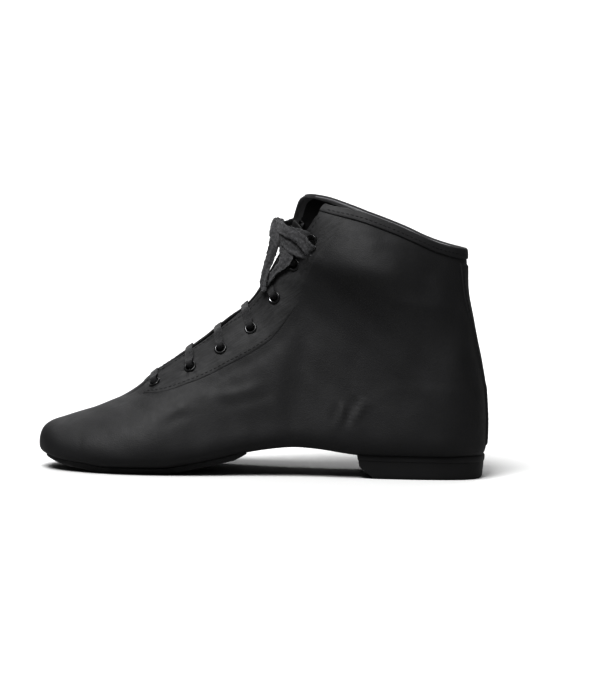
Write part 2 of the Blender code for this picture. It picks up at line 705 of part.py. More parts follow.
def lace_strip(path):
    """Points and faces of a flat strip along a path of section number, distance from ridge and height."""
    shares = np.linspace(0.0, 1.0, len(path))
    fine = np.linspace(0.0, 1.0, LACE_STEPS)
    numbers, across, heights = (np.interp(fine, shares, [p[k] for p in path]) for k in range(3))
    frames = [ridge_frame(n, a) for n, a in zip(numbers, across)]
    centres = np.array([p + h * n for (p, n), h in zip(frames, heights)])
    forward = np.gradient(centres, axis=0)
    rings = []
    for centre, way, (_, normal) in zip(centres, forward, frames):
        wide = np.cross(normal, way / np.linalg.norm(way))
        wide *= LACE_WIDE / 2 / np.linalg.norm(wide)
        thick = np.cross(way / np.linalg.norm(way), wide / np.linalg.norm(wide)) * LACE_THICK / 2
        rings.append([centre + wide + thick, centre - wide + thick,
                      centre - wide - thick, centre + wide - thick])
    return loft(rings)


def build_lacing():
    """A straight bar over the throat at every pair of eyelets below the bow."""
    for k, (number, inset) in enumerate(EYELETS[:-1], start=1):
        inner, outer = (side * edge_across(number, side) for side in (INNER, OUTER))
        path = ((number, inner - inset, LACE_OVER_EYELET), (number, inner, LACE_OVER_STAY),
                (number, outer, LACE_OVER_STAY), (number, outer + inset, LACE_OVER_EYELET))
        add_object(f"lace_bar_{k}", *lace_strip(path), LACE)


def knot_frame():
    """Middle of the knot and its three axes: up the throat, towards the outer side, off the surface."""
    number, across, height = KNOT_PLACE
    point, normal = ridge_frame(number, across)
    up_throat = ridge_frame(number + 0.1, across)[0] - point
    up_throat -= (up_throat @ normal) * normal
    up_throat /= np.linalg.norm(up_throat)
    return point + height * normal, np.array([up_throat, np.cross(normal, up_throat), normal])


def build_knot():
    middle, axes = knot_frame()
    rings = []
    for level in range(KNOT_LEVELS):
        tilt = math.pi * (level + 0.5) / KNOT_LEVELS
        ring = []
        for j in range(KNOT_SIDES):
            turn = 2 * math.pi * j / KNOT_SIDES
            unit = (math.sin(tilt) * math.cos(turn), math.sin(tilt) * math.sin(turn), -math.cos(tilt))
            ring.append(middle + np.multiply(unit, KNOT_SIZE) @ axes)
        rings.append(ring)
    return add_object("lace_knot", *loft(rings), LACE)


def leaving_points(direction):
    """Where a strand meets the knot, and a point a little further out."""
    middle, axes = knot_frame()
    unit = np.array(direction) / np.linalg.norm(direction)
    reach = 1 / math.sqrt(sum((u / s) ** 2 for u, s in zip(unit, KNOT_SIZE)))
    return [middle + (reach + GAP) * unit @ axes, middle + (reach + GAP + STRAND_LEAD) * unit @ axes]


def smooth_route(route):
    """Points at about even steps along a smooth curve through the places of a route."""
    route = np.array(route)
    distance = np.concatenate([[0.0], np.cumsum(np.linalg.norm(np.diff(route, axis=0), axis=1))])
    count = max(3, round(distance[-1] / STRAND_STEP) + 1)
    return [[smooth_between(distance, route[:, k], at) for k in range(3)]
            for at in np.linspace(0.0, distance[-1], count)]


def build_strands():
    """The strands between the knot and the top eyelets, the loops and the hanging ends."""
    for name, places in PLACES.items():
        route = leaving_points(LEAVING[name][0])
        for number, across, height in places:
            point, normal = ridge_frame(number, across)
            route.append(point + height * normal)
        if len(LEAVING[name]) > 1:
            route += reversed(leaving_points(LEAVING[name][1]))
        curve = bpy.data.curves.new("lace_" + name, "CURVE")
        curve.dimensions = "3D"
        curve.bevel_depth = LACE_ROUND / 2 * MM
        curve.bevel_resolution = 2
        curve.use_fill_caps = True
        points = smooth_route(route)
        spline = curve.splines.new("POLY")
        spline.points.add(len(points) - 1)
        for spot, point in zip(spline.points, points):
            spot.co = (*(MM * np.array(point)), 1.0)
        curve.materials.append(LACE)
        made = bpy.data.objects.new("lace_" + name, curve)
        bpy.context.scene.collection.objects.link(made)
        made.parent = boot


boot = bpy.data.objects.new("boot", None)
bpy.context.scene.collection.objects.link(boot)
boot.location = (-CENTRE_X * MM, -CENTRE_Y * MM, 0.0)
LEATHER = material("black_leather", (0.012, 0.012, 0.013), 0.5)
STAY_LEATHER = material("eyestay_leather", (0.014, 0.014, 0.015), 0.55)
TONGUE_LEATHER = material("tongue_leather", (0.010, 0.010, 0.011), 0.6)
LINING = material("lining", (0.03, 0.03, 0.03), 0.8)
SOLE = material("sole_suede", (0.015, 0.015, 0.016), 0.85)
HEEL = material("heel_rubber", (0.012, 0.012, 0.013), 0.6)
LACE = material("lace_cotton", (0.016, 0.016, 0.017), 0.9)
METAL = material("black_eyelet", (0.02, 0.02, 0.021), 0.3, 0.8)
CUTTER = material("cutter", (0.5, 0.5, 0.5), 0.5)

upper = build_upper()
eyestays = {name: build_eyestay("eyestay_" + name, side) for name, side in SIDES.items()}
build_collar_band()
build_back_strip()
build_tongue()
build_forefoot_sole()
build_insole()
build_heel()
build_eyelets({"upper": upper, **eyestays})
build_lacing()
build_knot()
build_strands()
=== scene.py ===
"""Looks of the lace-up jazz boot: soft leather, eyestays, bindings, stitching, eyelets, flat laces and a bow.

Tables and named sizes are in millimetres, in the boot's own frame: toe to -X, inner side to -Y, floor Z = 0.
"""

import functools
import math

import bmesh
import bpy
import numpy as np
from mathutils import Matrix, Vector

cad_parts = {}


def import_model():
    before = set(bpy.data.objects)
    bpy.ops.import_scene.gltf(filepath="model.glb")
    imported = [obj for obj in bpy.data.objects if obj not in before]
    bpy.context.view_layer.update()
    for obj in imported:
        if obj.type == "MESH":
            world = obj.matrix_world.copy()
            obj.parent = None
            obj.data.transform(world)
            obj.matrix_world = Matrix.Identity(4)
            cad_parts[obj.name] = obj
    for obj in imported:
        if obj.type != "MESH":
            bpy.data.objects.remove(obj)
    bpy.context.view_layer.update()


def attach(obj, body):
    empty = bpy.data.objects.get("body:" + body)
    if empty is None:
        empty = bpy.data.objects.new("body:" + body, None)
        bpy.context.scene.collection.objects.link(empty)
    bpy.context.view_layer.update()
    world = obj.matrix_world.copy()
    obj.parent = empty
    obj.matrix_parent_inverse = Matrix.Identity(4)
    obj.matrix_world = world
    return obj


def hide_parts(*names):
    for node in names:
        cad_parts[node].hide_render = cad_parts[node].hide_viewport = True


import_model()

MM = 0.001
CENTRE = np.array([0.4, 0.95, 0])
INNER, OUTER = -1, 1
SIDES = {INNER: "inner", OUTER: "outer"}
WALL = 1.5
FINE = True

# Sections from the toe to the collar
SECTION_COLUMNS = ("ridge_x", "ridge_z", "end_x", "end_z", "inner", "outer", "middle", "widest",
                   "crown", "belly")
SECTIONS = (
    (-125, 14.6, -125, 13.8, 0, 0, -9.5, 0.5, 2, 2),
    (-123.3, 21.8, -123.3, 7.4, 9.5, 9.5, -9.2, 0.5, 2, 2.1),
    (-118.2, 26.2, -118.2, 1.6, 18.5, 19.5, -8.2, 0.51, 2, 2.2),
    (-109, 29.2, -109, -3, 26.5, 28.5, -6.6, 0.53, 2, 2.3),
    (-95, 33.6, -95, -6, 33.5, 36.5, -4.2, 0.56, 2, 2.4),
    (-78, 41.8, -78, -7, 38.5, 41.5, -2, 0.6, 2, 2.5),
    (-60, 55.4, -58, -7, 40.5, 43, 0, 0.64, 1.9, 2.5),
    (-42, 69.6, -34, -4, 37.5, 41, 1, 0.68, 1.85, 2.5),
    (-24, 84.4, -6, 3, 33.5, 37.5, 1, 0.72, 1.85, 2.5),
    (-9, 98.6, 26, 5.5, 31, 34.5, 0.5, 0.74, 1.9, 2.5),
    (0, 113.6, 62, 2.5, 31, 33, 0, 0.72, 2, 2.6),
    (5.6, 126.4, 98, 1.5, 31.5, 32.5, 0, 0.68, 2, 2.45),
    (8.8, 134.8, 121, 8.5, 32, 32.5, 0, 0.63, 2, 2.3),
    (10.8, 141.2, 124.6, 33, 32, 32, 0, 0.58, 2, 2.2),
    (12.4, 146.6, 120.5, 65, 31.6, 31.6, 0, 0.55, 2, 2.1),
    (13.7, 151.2, 113, 97, 28.8, 28.8, 0, 0.52, 2, 2.05),
    (15, 156, 109.8, 128, 22.5, 22.5, 0, 0.5, 2, 2),
)
COLLAR = len(SECTIONS) - 1
TOP_WAVES = (1.85, 1.86, 0, 0.57)
TOP_WAVE_START = 12.5
RIM_DIP, RIM_DIP_FROM, RIM_DIP_TO, RIM_DIP_START = 3.2, 0.17, 0.42, 14

# Underside of the upper: x and height
UNDER = (
    (-126, 9.5), (-113, 6.6), (-100, 4.9), (-86, 3.1), (-57, 3.1), (-42, 5.2),
    (-28, 8.2), (-13, 11.9), (2, 14.8), (18, 16.4), (32, 15.4), (46, 13.4), (58, 12.3),
    (126, 12),
)
FEATHER_ROUND = 5
ARCH_ENDS = (-50, 18, 18, 60)
OUTER_ARCH_DROP, ARCH_DROP_PLACES = 4, (-18, 26)
FEATHER_LAST = 12

# Throat: section, half gap on the inner and the outer side, width of the eyestay
THROAT_COLUMNS = ("section", "inner", "outer", "stay")
THROAT = (
    (5.5, 0, 0, 19), (6, 5, 4.5, 23), (7, 8, 6, 25.8), (8, 8.8, 6.5, 26.4),
    (9, 9, 6.5, 27), (10, 9.8, 6.5, 25), (11, 10.8, 6.8, 22), (12, 12.6, 7, 20),
    (13, 15.5, 7.2, 19), (14, 18, 7.4, 18), (15, 18.8, 7.2, 18), (15.6, 17.5, 8.4, 18),
    (15.85, 16.9, 10.6, 18), (16, 16.7, 13.6, 18),
)
THROAT_BASE = THROAT[0][0]
STAY_SHARE = 0.4
STAY_FIRST, STAY_LAST = 5.55, 15.6

# Eyelets: section and distance from the throat edge
EYELETS = (
    (5.9, 13), (6.95, 15.3), (7.8, 14.5), (8.7, 13.6), (9.75, 10.8), (11.15, 8.6), (13.3, 7.2),
)
EYELET_BARREL, EYELET_FLANGE, HOLE_DEEP = 2.6, 3.5, 6
DENSE, SECTION_STEP, RIDGE_BLEND = 240, 0.1, 4


# The surface of the upper


def column(table, columns, name):
    return np.array([row[columns.index(name)] for row in table], float)


def slopes_of(positions, values, level):
    if not level:
        return np.gradient(values, positions)
    steps = np.diff(values) / np.diff(positions)
    slopes = np.concatenate([[steps[0]], (steps[:-1] + steps[1:]) / 2, [steps[-1]]])
    slopes[1:-1][steps[:-1] * steps[1:] <= 0] = 0
    limit = 3 * np.minimum(np.abs(steps[:-1]), np.abs(steps[1:]))
    slopes[1:-1] = np.clip(slopes[1:-1], -limit, limit)
    return slopes


def smooth_between(positions, values, at, level=False):
    """A cubic curve through the values at rising positions."""
    slopes = slopes_of(positions, values, level)
    i = int(np.clip(np.searchsorted(positions, at, side="right") - 1, 0, len(positions) - 2))
    width = positions[i + 1] - positions[i]
    t = float(np.clip((at - positions[i]) / width, 0, 1))
    start = (2 * t**3 - 3 * t**2 + 1) * values[i] + (t**3 - 2 * t**2 + t) * width * slopes[i]
    end = (3 * t**2 - 2 * t**3) * values[i + 1] + (t**3 - t**2) * width * slopes[i + 1]
    return float(start + end)


def ease(low, high, at):
    t = np.clip((at - low) / (high - low), 0, 1)
    return t * t * (3 - 2 * t)


def within(ends, at):
    """One between the two middle places, falling to nothing at the outer two."""
    return ease(*ends[:2], at) * (1 - ease(*ends[2:], at))


def run_along(points, axis=0):
    """Distance run along a line of points, or along the columns or rows of a grid."""
    steps = np.diff(points, axis=axis, prepend=np.take(points, [0], axis))
    return np.cumsum(np.linalg.norm(steps, axis=-1), axis)


def interpolate(at, distance, line):
    return np.stack([np.interp(at, distance, line[:, k]) for k in range(3)], axis=-1)


def unit(vectors):
    return vectors / np.maximum(np.linalg.norm(vectors, axis=-1, keepdims=True), 1e-9)


@functools.lru_cache(maxsize=None)
def section_at(n):
    mirrored = {"ridge_z": "end_z", "end_z": "ridge_z"}
    positions = np.arange(-1, len(SECTIONS))
    found = {}
    for name in SECTION_COLUMNS:
        values = column(SECTIONS, SECTION_COLUMNS, name)
        before = column(SECTIONS, SECTION_COLUMNS, mirrored.get(name, name))[1]
        before = -before if name in SIDES.values() else before
        found[name] = smooth_between(positions, np.concatenate([[before], values]), n)
    return found


def stride(n, end):
    """How far the ridge or the end moves over one step along the sections."""
    here, there = section_at(n), section_at(min(n + SECTION_STEP, COLLAR))
    return math.hypot(there[end + "_x"] - here[end + "_x"], there[end + "_z"] - here[end + "_z"])


UNDER_X, UNDER_Z = np.array(UNDER).T
UNDER_FINE_X = np.linspace(UNDER_X[0], UNDER_X[-1], 600)
UNDER_FINE_Z = np.array([smooth_between(UNDER_X, UNDER_Z, x, level=True) for x in UNDER_FINE_X])


def under(x, y):
    heights = np.interp(x, UNDER_FINE_X, UNDER_FINE_Z)
    return heights - OUTER_ARCH_DROP * within(ARCH_ENDS, x) * ease(*ARCH_DROP_PLACES, y)


@functools.lru_cache(maxsize=None)
def half_section(n, side):
    """Dense points of one side of a section, from the ridge to its end."""
    size = section_at(n)
    angle = np.linspace(0, math.pi, DENSE)
    down, out = np.cos(angle), np.clip(np.sin(angle), 0, 1)
    upper_half = angle <= math.pi / 2
    power = np.where(upper_half, 2 / size["crown"], 2 / size["belly"])
    reach = np.abs(down) ** power
    widest = size["widest"]
    along = np.where(upper_half, widest * (1 - reach), widest + (1 - widest) * reach)
    half = size[SIDES[side]]
    bow = sum(wave * np.sin((k + 1) * math.pi * along) for k, wave in enumerate(TOP_WAVES))
    x = size["ridge_x"] + along * (size["end_x"] - size["ridge_x"])
    y = size["middle"] + side * half * out**power
    z = size["ridge_z"] + along * (size["end_z"] - size["ridge_z"])
    z = z + bow * ease(TOP_WAVE_START, COLLAR, n)
    if side == INNER:
        dip = RIM_DIP * (1 - ease(RIM_DIP_FROM, RIM_DIP_TO, along))
        z = z - dip * ease(RIM_DIP_START, COLLAR, n)
    return np.stack([x, y, z], axis=1)


def flattened(points):
    floor = under(points[:, 0], points[:, 1])
    blend = np.clip(FEATHER_ROUND - np.abs(points[:, 2] - floor), 0, None)
    lifted = np.maximum(points[:, 2], floor) + blend**2 / (4 * FEATHER_ROUND)
    return np.column_stack([points[:, 0], points[:, 1], lifted])


def throat(n, name):
    sections = column(THROAT, THROAT_COLUMNS, "section")
    return smooth_between(sections, column(THROAT, THROAT_COLUMNS, name), n, level=True)


@functools.lru_cache(maxsize=None)
def girth_line(n, side, from_ridge=False):
    """Points from the throat edge (or the ridge) to the section's end, and their distance along it."""
    points = flattened(half_section(n, side))
    if not from_ridge and n > THROAT_BASE:
        offset = np.abs(points[:, 1] - section_at(n)["middle"])
        gap = throat(n, SIDES[side])
        first = int(np.argmax(offset >= gap))
        share = (gap - offset[first - 1]) / (offset[first] - offset[first - 1]) if first else 0
        edge = points[first - 1] + share * (points[first] - points[first - 1]) if first else points[0]
        points = np.vstack([edge, points[first:]])
    return points, run_along(points)


def surface(n, side, where, from_ridge=False):
    line, distance = girth_line(n, side, from_ridge)
    return interpolate(where, distance, line)


def frames_at(n, side, where, from_ridge=False):
    """Points, outward normals and directions to the collar at distances from the throat edge or ridge."""
    apart, step = 0.05, 0.5
    where = np.atleast_1d(np.asarray(where, float))

    def at(section, place):
        return surface(section, side, place, from_ridge)
    along = at(min(n + apart, COLLAR), where) - at(n - apart, where)
    down = at(n, where + step) - at(n, np.maximum(where - step, 0))
    return at(n, where), unit(np.cross(along, down) * side), unit(along)


def ridge_frame(n, across):
    """Point and normal of the closed surface over the throat, at a signed distance from the ridge."""
    side = OUTER if across > 0 else INNER
    points, normals, _ = frames_at(n, side, abs(across), from_ridge=True)
    other = frames_at(n, -side, abs(across), from_ridge=True)[1][0]
    share = 0.5 * max(0, 1 - abs(across) / RIDGE_BLEND)
    return points[0], unit((1 - share) * normals[0] + share * other)


def girth(n, side, from_ridge=False):
    return girth_line(n, side, from_ridge)[1][-1]


def feather_index(points):
    deep = points[:, 2] - under(points[:, 0], points[:, 1])
    below = np.flatnonzero((deep < 0) & (np.arange(DENSE) > DENSE // 2))
    return below[0] if len(below) else None


# Soft relief of the leather: side, width, height (below nothing for a trough) and a line seen from the side
CREASES = (
    (INNER, 1.2, 1.05, ((43.6, 42.5), (43.2, 37), (41.4, 29.4))),
    (INNER, 1.4, 1.15, ((56.5, 44.5), (53.5, 40), (49.6, 32))),
    (INNER, 2, -0.85, ((50, 45), (48, 38), (45.4, 29))),
    (INNER, 2, -0.5, ((40, 42), (39.4, 37), (38, 30))),
    (INNER, 3, -0.35, ((-34, 49), (-20, 50), (-6, 55))),
    (INNER, 2.2, 0.28, ((-30, 44), (-14, 46.5), (2, 53))),
    (INNER, 2.6, -0.3, ((-26, 38.5), (-10, 41), (6, 47))),
    (INNER, 2, 0.3, ((-54, 33), (-47, 37), (-42, 38.5))),
    (INNER, 2.6, -0.3, ((-58, 26), (-48, 31), (-38, 34))),
    (INNER, 15, 2.4, ((-100, 14), (-60, 14), (-20, 15), (15, 18))),
    (INNER, 12, -1, ((-80, 43), (-52, 50), (-25, 60))),
    (INNER, 3, 0.3, ((52, 130), (68, 131), (84, 129))),
    (OUTER, 3, -0.45, ((-40, 44), (-24, 48), (-8, 55))),
    (OUTER, 2.4, 0.35, ((-36, 38), (-18, 42), (0, 49))),
    (OUTER, 3, -0.4, ((-30, 32), (-12, 36), (8, 42))),
    (OUTER, 5, -0.55, ((12, 86), (30, 84), (56, 90))),
    (OUTER, 5, 0.45, ((16, 96), (36, 95), (60, 100))),
    (OUTER, 2.4, -0.4, ((46, 44), (45, 38), (43, 30))),
)
COUNTER_EDGE = (
    (43, 10), (44, 22), (46, 33), (61, 48.6), (73, 53.5), (93, 52.5), (128, 52),
)
COUNTER_HEIGHT, COUNTER_SOFT, COUNTER_FADE = 0.35, 1.6, (20, 40)
# Slack shaft: how far its side stands out or sinks in at each height, and where that fades along the boot
SLACK = (
    (24, 0), (32, -0.4), (40, -1.5), (48, -2.7), (56, -3.7), (64, -4.4), (72, -4.7),
    (80, -4.6), (88, -4.1), (95, -3.1), (102, -1.3), (108, 1), (113, 3.3), (117, 5),
    (119, 5.4), (121.5, 5.3), (125, 4.6), (130, 3.2), (135, 1.8), (140, 0.7), (146, 0),
)
SLACK_LEAN, SLACK_LEVEL, SLACK_SIDES = 0.15, 30, (6, 14)
SLACK_OUT, SLACK_IN = (10, 30, 56, 90), (4, 24, 86, 112)
SLACK_SHARE = {INNER: 1, OUTER: 0.5}
# Fullness of the sides just above the sole
FULL_SIZE, FULL_ABOVE, FULL_WIDTH, FULL_START = 1.5, 6, 8, (0.2, 3)
FULL_ENDS = (-118, -92, 98, 118)
STAY_DIP, STAY_DIP_WIDTH, STAY_DIP_OFF = 0.55, 4, 4.5
STAY_DIP_ROWS = np.arange(5.8, 11.6, 0.2)
WAVES = (
    (0.16, 46, (0.9, 0.2, 0.4), 0.4), (0.14, 37, (0.3, 0.1, 0.95), 1.7),
    (0.12, 29, (0.7, 0.3, -0.65), 2.9), (0.09, 21, (0.55, -0.2, 0.8), 4.1),
    (0.07, 16, (0.95, 0.2, -0.2), 5.3), (0.05, 11, (0.6, 0.5, 0.6), 0.9),
)
WAVE_DRIFT, WAVE_DRIFT_LENGTH = 1.3, 31
TOE_CALM, SOLE_CALM, SIDE_FROM = (-122, -100), (1, 7), 8
PUCKER = (0.1, 0.3, 0.1, 0.16, 0.12, 0.1, 0.12)
PUCKER_RAYS, PUCKER_TURN = (5, 7, 6, 5, 6, 5, 6), 1.1
PUCKER_REACH, PUCKER_PLACE, PUCKER_WIDTH = 14, 4.6, 2.6
SEAT_DIP, SEAT_DIP_WIDTH = 0.22, 4.2


def line_distance(points, line):
    """Distance of flat points to a polyline, share of the way along it, and the distance with a sign."""
    line = np.asarray(line, float)
    lengths = np.linalg.norm(np.diff(line, axis=0), axis=1)
    starts = run_along(line)
    best = np.full(points.shape[:-1], np.inf)
    share, signed = np.zeros((2, *points.shape[:-1]))
    for a, b, length, start in zip(line[:-1], line[1:], lengths, starts):
        way = (b - a) / length
        rel = points - a
        t = np.clip(rel @ way, 0, length)
        distance = np.linalg.norm(rel - t[..., None] * way, axis=-1)
        near = distance < best
        best = np.where(near, distance, best)
        share = np.where(near, (start + t) / starts[-1], share)
        cross = way[0] * rel[..., 1] - way[1] * rel[..., 0]
        signed = np.where(near, np.where(cross >= 0, distance, -distance), signed)
    return best, share, signed


def smooth_path(steps, values, at):
    return np.array([[smooth_between(steps, row, a) for row in np.asarray(values, float).T] for a in at])


def smooth_line(places, count=10):
    steps = run_along(np.array(places))
    return smooth_path(steps, places, np.linspace(0, steps[-1], count))


def stay_line(side):
    places = [(n, side, throat(n, "stay") + STAY_DIP_OFF) for n in STAY_DIP_ROWS]
    return np.array([surface(*place)[[0, 2]] for place in places])


SLACK_HEIGHTS = np.linspace(SLACK[0][0], SLACK[-1][0], 240)
SLACK_CURVE = np.array([smooth_between(*np.array(SLACK).T, z) for z in SLACK_HEIGHTS])
FORMS = [(side, width, height, smooth_line(line), 0.6) for side, width, height, line in CREASES]
FORMS += [(side, STAY_DIP_WIDTH, -STAY_DIP, stay_line(side), 0.5) for side in SIDES]
EYELET_SPOTS = [(side, k, *(v[0] for v in frames_at(n, side, inset)))
                for side in SIDES for k, (n, inset) in enumerate(EYELETS)]


def relief(points):
    """Height of the leather's soft shapes at points of the surface."""
    x, y, z = np.moveaxis(points, -1, 0)
    flat = points[..., [0, 2]]
    height = np.zeros(points.shape[:-1])
    for size, length, way, phase in WAVES:
        drift = WAVE_DRIFT * np.sin(x / WAVE_DRIFT_LENGTH + phase)
        height += size * np.sin(points @ np.array(way) * 2 * math.pi / length + phase + drift)
    height *= ease(*TOE_CALM, x)
    for side, width, size, line, power in FORMS:
        distance, share, _ = line_distance(flat, line)
        ends = np.clip(4 * share * (1 - share), 0, 1) ** power
        height += size * ends * np.exp(-((distance / width) ** 2)) * (side * y > SIDE_FROM)
    slack = np.interp(z + SLACK_LEAN * (x - SLACK_LEVEL), SLACK_HEIGHTS, SLACK_CURVE)
    sides = sum(amount * ease(*SLACK_SIDES, side * y) for side, amount in SLACK_SHARE.items())
    for part, ends in ((np.maximum(slack, 0), SLACK_OUT), (np.minimum(slack, 0), SLACK_IN)):
        height += part * within(ends, x) * sides
    signed = line_distance(flat, COUNTER_EDGE)[2]
    height += COUNTER_HEIGHT * ease(COUNTER_SOFT, -COUNTER_SOFT, signed) * ease(*COUNTER_FADE, x)
    for _, k, spot, normal, along in EYELET_SPOTS:
        rel = points - spot
        radius = np.linalg.norm(rel, axis=-1)
        close = radius < PUCKER_REACH
        if not close.any():
            continue
        angle = np.arctan2(rel @ np.cross(normal, along), rel @ along)
        rays = np.cos(PUCKER_RAYS[k] * angle + PUCKER_TURN * k)
        ring = np.exp(-((radius - PUCKER_PLACE) / PUCKER_WIDTH) ** 2)
        height += np.where(close, PUCKER[k] * rays * ring, 0)
        height -= np.where(close, SEAT_DIP * np.exp(-((radius / SEAT_DIP_WIDTH) ** 2)), 0)
    above = z - under(x, y)
    full = FULL_SIZE * np.exp(-(((above - FULL_ABOVE) / FULL_WIDTH) ** 2)) * ease(*FULL_START, above)
    return height * ease(*SOLE_CALM, above) + full * within(FULL_ENDS, x)


def grid_normals(points, flip):
    """Normals of a grid of points by differences along its rows and columns."""
    return unit(np.cross(np.gradient(points, axis=0), np.gradient(points, axis=1)) * flip)


# Objects


def world(points):
    return (np.asarray(points, float).reshape(-1, 3) - CENTRE) * MM


def add_object(name, data):
    made = bpy.data.objects.new(name, data)
    bpy.context.scene.collection.objects.link(made)
    return made


def add_mesh(name, points, faces, finishes, indices=None, uvs=None, sharp=40):
    mesh = bpy.data.meshes.new(name)
    mesh.from_pydata(world(points).tolist(), [], faces)
    for finish in finishes:
        mesh.materials.append(finish)
    if indices is not None:
        mesh.polygons.foreach_set("material_index", indices)
    if uvs is not None:
        layer = mesh.uv_layers.new(name="along")
        corners = np.zeros(len(mesh.loops), np.int32)
        mesh.loops.foreach_get("vertex_index", corners)
        layer.data.foreach_set("uv", np.asarray(uvs, np.float32)[corners].ravel())
    mesh.validate()
    shape = bmesh.new()
    shape.from_mesh(mesh)
    bmesh.ops.remove_doubles(shape, verts=shape.verts, dist=2e-6)
    bmesh.ops.recalc_face_normals(shape, faces=shape.faces)
    shape.to_mesh(mesh)
    shape.free()
    mesh.shade_smooth()
    if sharp:
        mesh.set_sharp_from_angle(angle=math.radians(sharp))
    return add_object(name, mesh)


def dress(made, slot, *nodes):
    """Ties a piece to the boot's body and to the solids it stands for, which it hides. The slot is not used.
    """
    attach(made, "root")
    if nodes:
        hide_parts(*nodes)
    return made


def quads(rows, columns, offset=0, keep=None):
    faces = []
    for r in range(rows - 1):
        for c in range(columns - 1):
            if keep is None or keep[r, c]:
                a = offset + r * columns + c
                faces.append((a, a + 1, a + columns + 1, a + columns))
    return faces


def border(rows, columns):
    """Indices of a grid's points once round its border."""
    edge = list(range(columns)) + [r * columns + columns - 1 for r in range(1, rows)]
    edge += [(rows - 1) * columns + c for c in range(columns - 2, -1, -1)]
    return edge + [r * columns for r in range(rows - 2, 0, -1)]


def plate(low, high):
    """Points and faces of a closed sheet between two grids."""
    rows, columns = low.shape[:2]
    points = np.concatenate([low.reshape(-1, 3), high.reshape(-1, 3)])
    top = rows * columns
    faces = quads(rows, columns) + quads(rows, columns, top)
    edge = border(rows, columns)
    faces += [(b, a, top + a, top + b) for a, b in zip(edge, edge[1:] + edge[:1])]
    return points, faces


def closed_rings(rows, count, base=0):
    """Faces between rings of points, with both ends shut."""
    faces = []
    for start in range(base, base + (rows - 1) * count, count):
        for c in range(count):
            a, b = start + c, start + (c + 1) % count
            faces.append((a, b, b + count, a + count))
    last = base + (rows - 1) * count
    return faces + [tuple(range(base, base + count))[::-1], tuple(range(last, last + count))]


def edge_distance(grid, front=0):
    """Distance of a grid's points from its border, counted from a start value at the front."""
    left, start = run_along(grid, 1), run_along(grid)
    return np.minimum(np.minimum(left, left[:, -1:] - left), np.minimum(start + front, start[-1:] - start))


def open_holes(grid):
    """Opens round holes at the eyelets in a grid: which faces stay, with points beside a hole moved out."""
    centres = (grid[:-1, :-1] + grid[1:, :-1] + grid[:-1, 1:] + grid[1:, 1:]) / 4
    keep = np.ones(centres.shape[:2], bool)
    for _, _, spot, normal, _ in EYELET_SPOTS:
        def split(places):
            rel = places - spot
            height = (rel @ normal)[..., None] * normal
            length = np.linalg.norm(rel - height, axis=-1, keepdims=True)
            inside = (length < EYELET_BARREL) & (np.abs(rel @ normal) < HOLE_DEEP)[..., None]
            return height, rel - height, length, inside
        keep &= ~split(centres)[-1][..., 0]
        height, out, length, inside = split(grid)
        grid[...] = np.where(inside, spot + height + out / np.maximum(length, 1e-6) * EYELET_BARREL, grid)
    return keep


# Materials. A tone is its red and green level, then its blue level.

LEATHER_GLOSS, CLOTH_GLOSS, LACE_GLOSS, LACQUER_GLOSS, PAPER_GLOSS = 0.36, 0.3, 0.2, 0.3, 0.1
GRAIN, GRAIN_DEPTH, SHEEN_ROUGHNESS = 1500, 0.00012, 0.5
STREAK_TURN, STREAK_LONG = (0, -math.radians(35), 0), (10, 1, 1)


def rgba(tone):
    return (tone[0], *tone, 1)


class Finish:
    """A material put together from textures. Each bump goes over those before it."""

    def __init__(self, name, tone, roughness, gloss, sheen=0, metallic=0, place="Object"):
        self.material = bpy.data.materials.new(name)
        self.material.use_nodes = True
        self.tree = self.material.node_tree
        self.shader = self.tree.nodes["Principled BSDF"]
        self.place = self.tree.nodes.new("ShaderNodeTexCoord").outputs[place]
        self.normal = None
        settings = {"Base Color": rgba(tone), "Roughness": roughness, "Metallic": metallic,
                    "Specular IOR Level": gloss, "Sheen Weight": sheen, "Sheen Roughness": SHEEN_ROUGHNESS}
        for key, value in settings.items():
            self.shader.inputs[key].default_value = value

    def node(self, kind, output, socket, source, **settings):
        made = self.tree.nodes.new("ShaderNode" + kind)
        for key, value in settings.items():
            if key in made.inputs:
                made.inputs[key].default_value = value
            else:
                setattr(made, key, value)
        self.tree.links.new(source, made.inputs[socket])
        return made.outputs[output]

    def noise(self, scale, detail, roughness=0.5, place=None):
        place = self.place if place is None else place
        return self.node("TexNoise", "Fac", "Vector", place, Scale=scale, Detail=detail, Roughness=roughness)

    def bump(self, source, distance, strength):
        made = self.node("Bump", "Normal", "Height", source, Strength=strength, Distance=distance)
        if self.normal is not None:
            self.tree.links.new(self.normal, made.node.inputs["Normal"])
        self.normal = made
        self.tree.links.new(made, self.shader.inputs["Normal"])

    def shine(self, source, low, high):
        made = self.node("MapRange", "Result", "Value", source, **{"To Min": low, "To Max": high})
        self.tree.links.new(made, self.shader.inputs["Roughness"])

    def colour(self, source, ends, *tones):
        made = self.node("ValToRGB", "Color", "Fac", source)
        for element, end, tone in zip(made.node.color_ramp.elements, ends, tones):
            element.position, element.color = end, rgba(tone)
        self.tree.links.new(made, self.shader.inputs["Base Color"])


